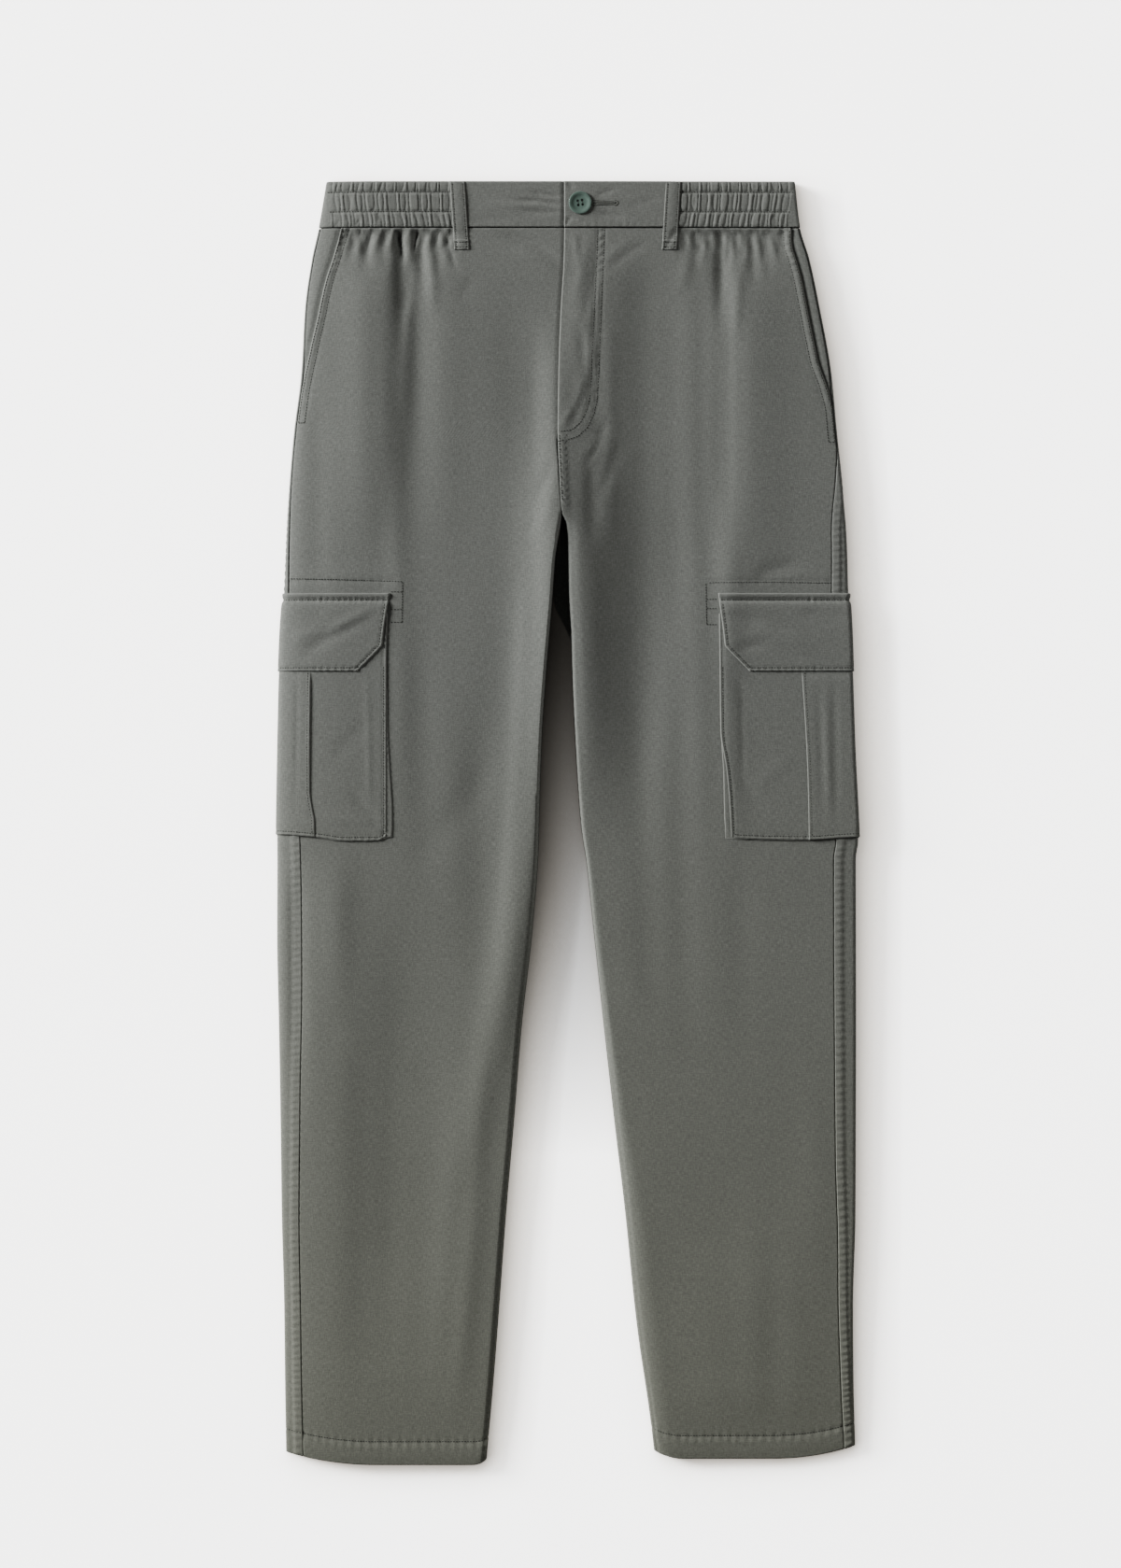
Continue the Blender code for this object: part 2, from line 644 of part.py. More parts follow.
# ------------------------------------------------------------------ hip pocket facings
FACING_STATIONS = (PANEL_TOP, 50.0, 68.0, 82.0, 98.0, 118.0, 142.0, 155.0, 168.0, 180.0, 190.0)
FACING_SHARES = (0.0, 0.12, 0.3, 0.5, 0.65, 0.8, 1.0)
FACING_UNDERLAP = 12.0
FACING_DEPTH = 2.4       # how far the facing lies below the front's outer face, under its edge


def facing_depth(leg, down, inset, last):
    """The facing starts level with the back, and dives under the front's slanted edge."""
    edge = leg.slant(down)
    beside = smooth((inset - edge + 5.0) / 4.4)
    return FACING_DEPTH * max(beside, ramp(last - 42.0, last - 8.0, down))


def facing(leg, last):
    rows = []
    for down in [down for down in FACING_STATIONS if down <= last]:
        start = leg.seam(down) + SEAM / 2
        finish_at = leg.front_edge(down) + FACING_UNDERLAP
        row = []
        for share in FACING_SHARES:
            inset = mix(start, finish_at, share * share * 0.5 + share * 0.5)
            depth = facing_depth(leg, down, inset, last)
            row.append((share, Place("over", inset), -depth, -depth - CLOTH))
        rows.append((down, row))
    name = "pocket_facing_" + leg.name
    sheet_wall(name, leg, rows, finish(name, TWILL, TWILL_ROUGHNESS))


# ------------------------------------------------------------------ waistband
def band_out(leg, down, inset):
    """Offset of the waistband's outer face at the front, higher where it laps over, lower under it."""
    from_centre = leg.width(down) - inset
    if leg.sign > 0:
        lapped = 1.0 - ramp(BAND_UNDERLAP + 4.0, BAND_UNDERLAP + 24.0, from_centre)
        return BAND_PROUD + BAND_LAP_PROUD * lapped
    return BAND_PROUD - BAND_LAP_DIP * smooth((14.0 - from_centre) / 12.5)


BAND_FRONT_SHARES = (0.0, 0.2, 0.4, 0.55, 0.62, 0.68, 0.73, 0.8, 0.9, 1.0)


def band_front(leg):
    """The plain front part, from the belt loop to the overlap at the centre."""
    end = 0.0 if leg.sign > 0 else -BAND_UNDERLAP
    rows = []
    for down in BAND_ROWS:
        start = leg.inset(down, leg.loop) + SEAM / 2
        row = []
        for share in BAND_FRONT_SHARES:
            inset = mix(start, leg.width(down) - end, share)
            out = band_out(leg, down, inset)
            row.append((share, Place("over", inset), out, out - BAND_CLOTH))
        rows.append((down, row))
    name = "waistband_front_" + leg.name
    sheet_wall(name, leg, rows, finish(name, TWILL, TWILL_ROUGHNESS))


def wave(position, row):
    """Offset of the elasticated side at a position counted in gathers, lowest at each whole number."""
    number = math.floor(position + 0.01)
    size = 0.78 + 0.22 * math.sin(2.4 * number + 0.7 * row.lean)
    valley = 1.0 if abs(position - round(position)) < 0.01 else 0.0
    return WAVE_HEIGHT * row.height * size * (0.5 - 1.2 * valley) + row.pinch


PER_WAVE = 3
PLAIN_STRIP = 5.0        # from the outer edge to the first gather
BAND_INNER_STEPS = 8


def gathered_side(leg, row, joint):
    """Places and offsets across the gathers at one depth of the waistband, from the joint outwards."""
    pitch = (joint - PLAIN_STRIP) / WAVES
    line = []
    for k in range(WAVES * PER_WAVE + 1):
        ends = min(k, WAVES * PER_WAVE - k) / PER_WAVE
        position = k / PER_WAVE + row.lean * min(1.0, ends / 2.0) * 0.8
        out = BAND_PROUD + wave(k / PER_WAVE, row) * min(1.0, ends / 1.6)
        line.append((Place("over", joint - position * pitch), out))
    return line


def plain_side(joint):
    """Places from the last gather round the folded edge and underneath to the joint at the back."""
    line = [(Place("over", at), BAND_PROUD) for at in (3.0, 1.0, 0.2)]
    line.append((Place("over", 0.0), BAND_PROUD * 0.6))
    line += [(Place("roll", degrees), 0.0) for degrees in QUARTER]
    stops = (20.0, 40.0, joint - 48.0, joint - 34.0, joint - 24.0, joint)
    return line + [(Place("under", at), 0.0) for at in stops]


def band_elastic(leg):
    """The elasticated side: gathers on the front, plain round the edge and underneath."""
    outer = []
    inner = []
    for row in WAVE_ROWS:
        joint = leg.inset(row.down, leg.loop) - SEAM / 2
        line = gathered_side(leg, row, joint) + plain_side(joint)
        outer.append([point(leg, row.down, place, out) for place, out in line])
    for down in (0.0, BAND_DEPTH):
        joint = leg.inset(down, leg.loop) - SEAM / 2
        insets = [mix(joint, 8.0, k / BAND_INNER_STEPS) for k in range(BAND_INNER_STEPS)]
        line = [(Place("over", inset), BAND_PROUD) for inset in insets] + plain_side(joint)
        inner.append([point(leg, down, place, out - BAND_CLOTH) for place, out in line])
    name = "waistband_elastic_" + leg.name
    material = finish(name, TWILL, TWILL_ROUGHNESS)
    loft_wall(name, [paced(row) for row in outer], [paced(row) for row in inner], material)


def paced(row):
    """The row's points, each with its share of the length along the row."""
    travelled = [0.0]
    for before, after in zip(row, row[1:]):
        travelled.append(travelled[-1] + (after - before).length)
    return [(distance / travelled[-1], place) for distance, place in zip(travelled, row)]


def band_back():
    """The back part, between the joints under the belt loops."""
    across = [RIGHT_LOOP + SEAM / 2]
    across += [RIGHT_LOOP + step for step in (24.0, 34.0, 48.0)]
    across += [LEFT_LOOP - step for step in (48.0, 34.0, 24.0)]
    across.append(LEFT_LOOP - SEAM / 2)
    outer = []
    inner = []
    for down in BAND_ROWS:
        y = (LENGTH / 2 - down) * MM
        heights = [loop_lift(x, down) for x in across]
        outer.append([(x, Vector((x * MM, y, z * MM))) for x, z in zip(across, heights)])
        inner.append([(x, Vector((x * MM, y, (z + BAND_CLOTH) * MM))) for x, z in zip(across, heights)])
    loft_wall("waistband_back", outer, inner, finish("waistband_back", TWILL, TWILL_ROUGHNESS))


# ------------------------------------------------------------------ belt loops and button
LOOP_STATIONS = (0.6, 10.0, 19.0, 30.0, 37.0, 41.0, 48.0, 49.0, LOOP_LENGTH)


def loop_out(down):
    """Inner offset of a front belt loop: on the waistband, then down onto the panel."""
    return mix(BAND_PROUD + 0.4, 0.5, ramp(38.0, 43.0, down))


def belt_loop_front(leg, top, bottom):
    """A strip from the waistband's top edge to below its seam, with its lower end folded under."""
    rows = []
    for down in LOOP_STATIONS:
        centre = mix(top, bottom, down / LOOP_LENGTH)
        low = loop_out(down) + 0.3 * ramp(0.0, 14.0, down) * (1.0 - ramp(24.0, 40.0, down))
        thick = LOOP_CLOTH + (0.7 if down > 48.5 else 0.0)
        row = []
        for share in (0.0, 0.5, 1.0):
            inset = leg.inset(down, centre + LOOP_WIDTH * (share - 0.5))
            row.append((share, Place("over", inset), low + thick, low))
        rows.append((down, row))
    name = "belt_loop_front_" + leg.name
    sheet_wall(name, leg, rows, finish(name, TWILL, TWILL_ROUGHNESS))


def belt_loop_back(leg):
    """A flat strip under the back, resting where the garment rests."""
    size = Vector((LOOP_WIDTH, LOOP_LENGTH - 0.6, BACK_LOOP_CLOTH)) * MM
    middle = Vector((leg.loop, LENGTH / 2 - 0.6 - (LOOP_LENGTH - 0.6) / 2, BACK_LOOP_CLOTH / 2)) * MM
    bpy.ops.mesh.primitive_cube_add(size=1.0, location=middle)
    piece = bpy.context.active_object
    piece.name = "belt_loop_back_" + leg.name
    piece.data.name = piece.name
    piece.data.transform(Matrix.Diagonal((*size, 1.0)))
    edges = piece.modifiers.new("softened edges", "BEVEL")
    edges.width = 0.3 * MM
    edges.segments = 1
    piece.data.materials.append(finish(piece.name, TWILL, TWILL_ROUGHNESS))
    keep(piece, trousers)


def keep(piece, collection):
    for other in list(piece.users_collection):
        other.objects.unlink(piece)
    collection.objects.link(piece)


def button_profile():
    """Half outline of the button from its top centre round to its bottom centre: radius and height."""
    return (
        (0.0, 2.0), (5.6, 2.0), (6.6, 2.6), (7.4, BUTTON_HEIGHT), (8.4, BUTTON_HEIGHT), (BUTTON_RADIUS, 2.4),
        (BUTTON_RADIUS, 1.2), (8.3, 0.2), (7.0, 0.0), (0.0, 0.0),
    )


def fly_button():
    across, down = BUTTON_PLACE
    inset = LEFT.inset(down, across)
    slope = top_height(LEFT, down + 8.0, inset) - top_height(LEFT, down - 8.0, inset)
    tilt = -math.atan2(slope, 16.0)
    seat = point(LEFT, down, Place("over", inset), band_out(LEFT, down, inset) + SEAM)
    profile = bpy.data.meshes.new("fly_button")
    corners = [(radius * MM, 0.0, height * MM) for radius, height in button_profile()]
    profile.from_pydata(corners, [(k, k + 1) for k in range(len(corners) - 1)], [])
    button = bpy.data.objects.new("fly_button", profile)
    button.matrix_world = Matrix.Translation(seat) @ Matrix.Rotation(tilt, 4, "X")
    trousers.objects.link(button)
    turned = button.modifiers.new("turned", "SCREW")
    turned.steps = 28
    turned.render_steps = 28
    turned.use_merge_vertices = True
    turned.merge_threshold = 0.00005
    turned.use_normal_calculate = True
    for number in range(4):
        angle = math.radians(45 + 90 * number + BUTTON_TWIST)
        spread = BUTTON_HOLE_SPREAD * math.sqrt(2)
        place = Vector((spread * math.cos(angle), spread * math.sin(angle), 1.5)) * MM
        cutter = thread_hole(button, place, number)
        hole = button.modifiers.new("thread hole", "BOOLEAN")
        hole.operation = "DIFFERENCE"
        hole.solver = "EXACT"
        hole.object = cutter
    profile.materials.append(finish("fly_button", BUTTON_COLOUR, 0.35))


def thread_hole(button, place, number):
    bpy.ops.mesh.primitive_cylinder_add(vertices=10, radius=BUTTON_HOLE * MM, depth=8.0 * MM)
    cutter = bpy.context.active_object
    cutter.name = "cut_thread_hole_%d" % number
    cutter.matrix_world = button.matrix_world @ Matrix.Translation(place)
    cutter.hide_render = True
    cutter.display_type = "WIRE"
    keep(cutter, cutters)
    return cutter


# ------------------------------------------------------------------ cargo pockets
EDGE_INSETS = (6.0, 2.5, 0.8, 0.1, 0.0)
BAG_STATIONS = (BAG_TOP, 378.0, 400.0, 412.0, 450.0, 490.0, 526.0, BAG_BOTTOM)
FLAP_SIDE = 1.8          # how far the flap reaches past the bag's front edge
FlapRow = namedtuple("FlapRow", "down low high cut")
# low and high are the flap's inner and outer offsets; cut is how much its ends are cut back there.
FLAP_ROWS = (
    FlapRow(FLAP_TOP, FLAP_WELT[0], FLAP_WELT[1] - 1.0, 0.0),
    FlapRow(FLAP_TOP + 1.5, FLAP_WELT[0], FLAP_WELT[1], 0.2),
    FlapRow(345.0, FLAP_WELT[0], FLAP_WELT[1], 0.6),
    FlapRow(347.5, FLAP_WELT[0] + 0.4, FLAP_WELT[1] - 0.5, 0.9),
    FlapRow(352.5, FLAP[0], FLAP[1], 1.3),
    FlapRow(366.0, FLAP[0], FLAP[1], 2.4),
    FlapRow(381.0, FLAP[0], FLAP[1], 3.6),
    FlapRow(391.0, FLAP[0], FLAP[1], 12.5),
    FlapRow(FLAP_BOTTOM, FLAP[0], FLAP[1], 23.0),
)


def pleat_rise(leg, down, inset):
    """Extra height of the bag over its box pleat."""
    if inset > leg.pleat_edge(down) + 0.01:
        return 0.0
    below_flap = ramp(FLAP_BOTTOM - 1.5, FLAP_BOTTOM + 9.5, down)
    return PLEAT_PROUD * below_flap * smooth(inset / 3.0 + 0.35)


def bag_places(leg, down):
    edge = leg.bag_edge(down)
    pleat = leg.pleat_edge(down)
    insets = (edge, mix(edge, pleat, 0.18), mix(edge, pleat, 0.5), pleat + 0.6, pleat, 12.0) + EDGE_INSETS
    places = [Place("over", inset) for inset in insets]
    places += [Place("roll", degrees) for degrees in QUARTER]
    places += [Place("under", inset) for inset in (20.0, 45.0, leg.pocket.under)]
    return places


def cargo_bag(leg):
    rows = []
    for down in BAG_STATIONS:
        row = []
        for k, place in enumerate(bag_places(leg, down)):
            rise = pleat_rise(leg, down, place.at) if place.kind == "over" else 0.0
            row.append((k, place, BAG[1] + rise, BAG[0]))
        rows.append((down, row))
    name = "cargo_bag_" + leg.name
    sheet_wall(name, leg, rows, finish(name, TWILL, TWILL_ROUGHNESS))


GUSSET_STATIONS = (GUSSET_TOP, 378.0, 400.0, 412.0, 450.0, 490.0)


def gusset_path(leg):
    """Pairs of the gusset's outer and inner edge: down its front, along the bottom and up its back."""
    bottom = BAG_BOTTOM + GUSSET_DROP
    above = bottom - GUSSET_WIDTH
    front = []
    for down in GUSSET_STATIONS:
        edge = leg.bag_edge(down) + GUSSET_SHOWS
        front.append(((down, Place("over", edge)), (down, Place("over", edge - GUSSET_WIDTH))))
    corner = leg.bag_edge(above) + GUSSET_SHOWS
    front.append(((bottom, Place("over", corner)), (above, Place("over", corner - GUSSET_WIDTH))))
    along = [Place("over", inset) for inset in (60.0, 45.0, 30.0, 20.0, 12.0) + EDGE_INSETS]
    along += [Place("roll", degrees) for degrees in QUARTER]
    along += [Place("under", inset) for inset in (20.0, 45.0)]
    edge = leg.pocket.under - 1.0
    outside = Place("under", edge)
    inside = Place("under", edge - GUSSET_WIDTH)
    rear = [((bottom, outside), (above, inside))]
    rear += [((down, outside), (down, inside)) for down in reversed(GUSSET_STATIONS)]
    return front + [((bottom, place), (above, place)) for place in along] + rear


def cargo_gusset(leg):
    path = gusset_path(leg)
    low, high = GUSSET
    outer = []
    inner = []
    for side in (0, 1):
        outer.append([(k, point(leg, *step[side], high)) for k, step in enumerate(path)])
        inner.append([(k, point(leg, *step[side], low)) for k, step in enumerate(path)])
    name = "cargo_gusset_" + leg.name
    loft_wall(name, outer, inner, finish(name, TWILL, TWILL_ROUGHNESS))


def flap_places(leg, row):
    start = leg.pocket.front_top + FLAP_SIDE - row.cut
    end = leg.pocket.under + 2.0 - row.cut
    insets = [mix(start, 12.0, share) for share in (0.0, 0.12, 0.4, 0.7, 1.0)]
    places = [Place("over", inset) for inset in (*insets, *EDGE_INSETS)]
    places += [Place("roll", degrees) for degrees in QUARTER]
    places += [Place("under", inset) for inset in (20.0, 45.0, end - 10.0, end)]
    return places


def cargo_flap(leg):
    rows = []
    for row in FLAP_ROWS:
        places = flap_places(leg, row)
        rows.append((row.down, [(k, place, row.high, row.low) for k, place in enumerate(places)]))
    name = "cargo_flap_" + leg.name
    sheet_wall(name, leg, rows, finish(name, TWILL, TWILL_ROUGHNESS))


# ------------------------------------------------------------------ the trousers
for old in list(bpy.data.objects):
    bpy.data.objects.remove(old, do_unlink=True)
trousers = new_collection("cargo_trousers")
cutters = new_collection("cutters", hidden=True)

for side in (RIGHT, LEFT):
    front(side)
    back(side)
    band_front(side)
    band_elastic(side)
    belt_loop_back(side)
    cargo_gusset(side)
    cargo_bag(side)
    cargo_flap(side)
facing(RIGHT, 180.0)
facing(LEFT, 190.0)
band_back()
belt_loop_front(RIGHT, -91.4, -87.7)
belt_loop_front(LEFT, 85.4, 82.0)
fly_button()
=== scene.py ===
# %% [markdown]
# # Cargo trousers laid flat
# These trousers lie on their back, waist towards +Y and front towards +Z. "Right" and "left" are the
# wearer's, so the right leg is at -X. Every piece of cloth here is one thin shell: a grid whose vertices
# are placed by functions, then given its thickness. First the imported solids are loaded, because they give
# the true size.

# %% Load the frame
import math
from collections import namedtuple

import bpy
import numpy as np
from mathutils import Matrix, Vector


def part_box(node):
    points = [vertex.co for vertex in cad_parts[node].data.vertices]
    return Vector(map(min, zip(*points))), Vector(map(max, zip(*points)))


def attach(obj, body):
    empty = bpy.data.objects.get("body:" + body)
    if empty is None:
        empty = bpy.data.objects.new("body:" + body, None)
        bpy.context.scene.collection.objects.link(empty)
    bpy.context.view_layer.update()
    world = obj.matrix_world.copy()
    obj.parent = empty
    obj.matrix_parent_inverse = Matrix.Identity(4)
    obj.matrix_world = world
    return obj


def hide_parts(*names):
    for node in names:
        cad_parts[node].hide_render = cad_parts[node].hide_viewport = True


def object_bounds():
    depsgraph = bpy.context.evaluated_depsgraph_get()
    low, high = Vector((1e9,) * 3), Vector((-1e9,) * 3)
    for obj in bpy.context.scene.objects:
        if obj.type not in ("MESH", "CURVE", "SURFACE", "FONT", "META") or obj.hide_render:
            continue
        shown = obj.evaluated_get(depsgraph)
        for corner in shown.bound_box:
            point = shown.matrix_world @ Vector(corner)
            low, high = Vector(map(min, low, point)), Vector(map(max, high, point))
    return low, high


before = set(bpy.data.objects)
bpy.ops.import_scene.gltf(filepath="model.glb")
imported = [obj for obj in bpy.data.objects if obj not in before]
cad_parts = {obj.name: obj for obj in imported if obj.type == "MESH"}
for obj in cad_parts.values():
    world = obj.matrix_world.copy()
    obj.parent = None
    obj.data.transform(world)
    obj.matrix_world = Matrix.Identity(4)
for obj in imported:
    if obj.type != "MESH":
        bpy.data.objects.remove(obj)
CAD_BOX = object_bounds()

MM = 0.001
LENGTH = (CAD_BOX[1].y - CAD_BOX[0].y) / MM
print("nodes:", len(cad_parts), " length in mm:", round(LENGTH, 1))

# %% [markdown]
# ## The camera and the light
# Clothes are shown flat from straight above, through a long lens that hardly bends straight lines. A wide
# soft lamp, low on the wearer's right, draws every fold. A weak reflector and a dim sky fill the shadows a
# little.

# %% The camera and the lamps
VIEW_HEIGHT = 1.2868             # height of what the camera takes in, in metres
VIEW_CENTRE = (-0.0069, 0.0322)
LENS = 100.0
SENSOR = 36.0
DAYLIGHT = (1.0, 0.99, 0.965)
FILL_LIGHT = (1.0, 0.975, 0.93)
SKY_STRENGTH = 0.055

camera_data = bpy.data.cameras.new("camera")
camera_data.lens = LENS
camera_data.sensor_width = SENSOR
camera_data.clip_end = 20.0
camera = bpy.data.objects.new("camera", camera_data)
camera.location = (*VIEW_CENTRE, VIEW_HEIGHT * LENS / SENSOR)
bpy.context.scene.collection.objects.link(camera)
bpy.context.scene.camera = camera
print("camera height in m:", round(camera.location.z, 3))


def soft_lamp(name, place, size, power, colour):
    """A square lamp that points at the middle of the floor."""
    data = bpy.data.lights.new(name, "AREA")
    data.size = size
    data.energy = power
    data.color = colour
    lamp = bpy.data.objects.new(name, data)
    lamp.location = place
    lamp.rotation_euler = (-Vector(place)).to_track_quat("-Z", "Y").to_euler()
    bpy.context.scene.collection.objects.link(lamp)


soft_lamp("window", (-9.6, 3.9, 2.62), 3.4, 3260.0, DAYLIGHT)
soft_lamp("reflector", (6.6, 2.4, 1.9), 2.2, 150.0, FILL_LIGHT)
sky = bpy.data.worlds.new("sky")
sky.use_nodes = True
sky.node_tree.nodes["Background"].inputs["Color"].default_value = (*FILL_LIGHT, 1.0)
sky.node_tree.nodes["Background"].inputs["Strength"].default_value = SKY_STRENGTH
bpy.context.scene.world = sky

# %% [markdown]
# ## Materials from nodes
# A material is a graph of small nodes. Written out socket by socket it fills a page, so these helpers make
# one node in one line: its kind, its settings, and each of its inputs as a value or as another node's
# output.

# %% Helpers for nodes
def feed(tree, node, inputs):
    """Give a node its inputs, each a value or another node's output."""
    for socket, value in inputs.items():
        if isinstance(value, bpy.types.NodeSocket):
            tree.links.new(value, node.inputs[socket])
        else:
            node.inputs[socket].default_value = value


def add_node(tree, kind, inputs=None, **settings):
    node = tree.nodes.new("ShaderNode" + kind)
    for name, value in settings.items():
        setattr(node, name, value)
    feed(tree, node, inputs or {})
    return node


def math_node(tree, operation, first, second=0.0):
    return add_node(tree, "Math", {0: first, 1: second}, operation=operation).outputs[0]


def map_range(tree, value, start, end, low=0.0, high=1.0):
    """low where the value is start, high where it is end, and even between them."""
    inputs = {"Value": value, "From Min": start, "From Max": end, "To Min": low, "To Max": high}
    return add_node(tree, "MapRange", inputs).outputs["Result"]


def scale_vector(tree, vector, factor):
    return add_node(tree, "VectorMath", {0: vector, "Scale": factor}, operation="SCALE").outputs["Vector"]


def mix_colours(tree, share, first, second, blend="MIX"):
    inputs = {"Factor": share, "A": first, "B": second}
    return add_node(tree, "Mix", inputs, data_type="RGBA", blend_type=blend).outputs["Result"]


def new_material(name):
    """A material, its node tree and its shader."""
    material = bpy.data.materials.new(name)
    material.use_nodes = True
    return material, material.node_tree, material.node_tree.nodes["Principled BSDF"]


# %% [markdown]
# ## The paper underneath
# Studio paper is lit so strongly that it is nearly white, and things on it keep only a thin warm shadow.
# Real paper would need far brighter lamps than the cloth does. So what the camera sees of it is lamp light
# plus a painted glow of its own, with a painted warm shadow close to things from ambient occlusion, and a
# painted shadow between the legs set by its place. Everything else in the scene is lit by plain white paper.

# %% The floor
WHITE = (1.0, 1.0, 1.0, 1.0)
BOUNCED_WHITE = (0.8, 0.8, 0.8, 1.0)
PAPER_BRIGHTNESS = 2.3           # how strongly the paper shows the lamps' light and shadow
PAPER_GLOW = 3.1                 # how strongly it glows
PAINTED_SHADOW_REACH = 0.040            # how far the painted shadow next to things reaches over the paper
# how deep the painted shadow next to things is
PAINTED_SHADOW_DEPTH = 2.7
WARM_SHADOW = (1.0, 0.88, 0.72, 1.0)
ROOM_LIGHT = (-0.68, 0.54, 0.50)     # where most of the room's light comes from
PAINTED_GAP_SHADOW_ALONG = (-0.274, 0.155)      # the painted shadow between the legs grows darker from here up to here
PAINTED_GAP_SHADOW_DEPTH = 3.6
PAINTED_GAP_SHADOW_BESIDE = (0.11, 0.07)        # and only this near the middle
PAINTED_GAP_SHADOW_END = (0.30, 0.20)           # and only below the waist


def painted_gap_shadow_share(tree):
    """Painted shadow: the share of the paper's light left between the legs, set by its place."""
    place = add_node(tree, "TexCoord").outputs["Object"]
    split = add_node(tree, "SeparateXYZ", {"Vector": place})
    along = map_range(tree, split.outputs["Y"], *PAINTED_GAP_SHADOW_ALONG, 0.0, -PAINTED_GAP_SHADOW_DEPTH)
    beside = map_range(tree, math_node(tree, "ABSOLUTE", split.outputs["X"]), *PAINTED_GAP_SHADOW_BESIDE)
    within = math_node(tree, "MULTIPLY", beside, map_range(tree, split.outputs["Y"], *PAINTED_GAP_SHADOW_END))
    return math_node(tree, "EXPONENT", math_node(tree, "MULTIPLY", along, within))


def paper_material():
    material, tree, unused = new_material("pale floor with painted shadow")
    tree.nodes.remove(unused)
    # painted shadow between the legs, as the share of the paper's light that is kept
    kept = painted_gap_shadow_share(tree)
    towards = add_node(tree, "CombineXYZ", dict(zip("XYZ", ROOM_LIGHT)))
    inputs = {"Distance": PAINTED_SHADOW_REACH, "Normal": towards.outputs["Vector"]}
    painted_shadow_openness = add_node(tree, "AmbientOcclusion", inputs, samples=8)
    # painted warm shadow: the glow dims where ambient occlusion, turned towards the room's light, finds
    # things close
    painted_contact_shadow = math_node(tree, "POWER", painted_shadow_openness.outputs["AO"], PAINTED_SHADOW_DEPTH)
    cast = mix_colours(tree, painted_contact_shadow, WARM_SHADOW, WHITE)
    glowing = scale_vector(tree, cast, math_node(tree, "MULTIPLY", painted_contact_shadow, kept))
    glow = add_node(tree, "Emission", {"Color": glowing, "Strength": PAPER_GLOW})
    lit = add_node(tree, "BsdfDiffuse", {"Color": scale_vector(tree, (PAPER_BRIGHTNESS,) * 3, kept)})
    seen = add_node(tree, "AddShader", {0: lit.outputs["BSDF"], 1: glow.outputs["Emission"]})
    bounced = add_node(tree, "BsdfDiffuse", {"Color": BOUNCED_WHITE})
    to_camera = add_node(tree, "LightPath").outputs["Is Camera Ray"]
    inputs = {"Fac": to_camera, 1: bounced.outputs["BSDF"], 2: seen.outputs["Shader"]}
    chosen = add_node(tree, "MixShader", inputs)
    feed(tree, tree.nodes["Material Output"], {"Surface": chosen.outputs["Shader"]})
    return material


bpy.ops.object.select_all(action="DESELECT")
bpy.ops.mesh.primitive_plane_add(size=8.0, location=(0.0, 0.0, -0.0002))
floor = bpy.context.active_object
floor.name = "floor"
bpy.ops.object.transform_apply(location=True, rotation=True, scale=True)
floor.data.materials.append(paper_material())
print("floor material:", floor.data.materials[0].name)

# %% [markdown]
# ## The cut of the garment
# A pattern cutter writes down where each edge lies at a few levels below the waist, and joins the points
# with smooth curves. The tables below do the same in millimetres. "down" is the distance from the waist
# edge towards the hems, and "inset" is a distance in from a leg's folded outer edge.

# %% Sizes and tables
CLOTH = 0.7              # one layer of cloth
POCKET_CLOTH = 0.8       # pockets and flaps are double
EDGE_ROLL = 3.6          # radius of the folded outer and inner edges
DOMES = {"right": (60.0, 9.0), "left": (9.0, 18.0)}  # how far in the front rises from outer and inner edge
INNER_SOFT = {"right": 3.0, "left": 10.0}            # how far from the inner edge the folds have faded
TILT = {"right": 0.0, "left": 2.2}                   # how much lower the front is at the outer edge
SEAM = 0.3               # gap between two pieces at a seam
BAND_DEPTH = 38.0        # depth of the waistband
BAND_CLOTH = 1.2
BAND_PROUD = 0.5         # how far the waistband stands out from the panels
PANEL_TOP = 38.6         # where the panels start
FLY_UNDERLAP = 12.0      # how far the right front runs under the left one
BAND_UNDERLAP = 35.0
FLY_END = 204.0          # where the fly's overlap ends
CROTCH = 273.6           # where the fronts part
HEM_DEPTH = 19.5
HEM_ROW = LENGTH - HEM_DEPTH     # down of the hem's stitches
LOOP_WIDTH = 12.0
LOOP_LENGTH = 56.5
FLAP_TOP = 337.5
FLAP_BOTTOM = 401.5
FLAP_OUT = 2.1           # the flap's outer face over the leg
BAG_TOP = 354.0
BAG_BOTTOM = 538.0
BAG_OUT = 1.1            # the pocket bag's outer face over the leg
PLEAT_PROUD = 0.45

print("depth of the leg below the crotch in mm:", round(LENGTH - CROTCH, 1))

# %% [markdown]
# The outline is measured at two dozen levels on each leg, because laid cloth is never the same on both
# sides. The curves further down find every place in between.

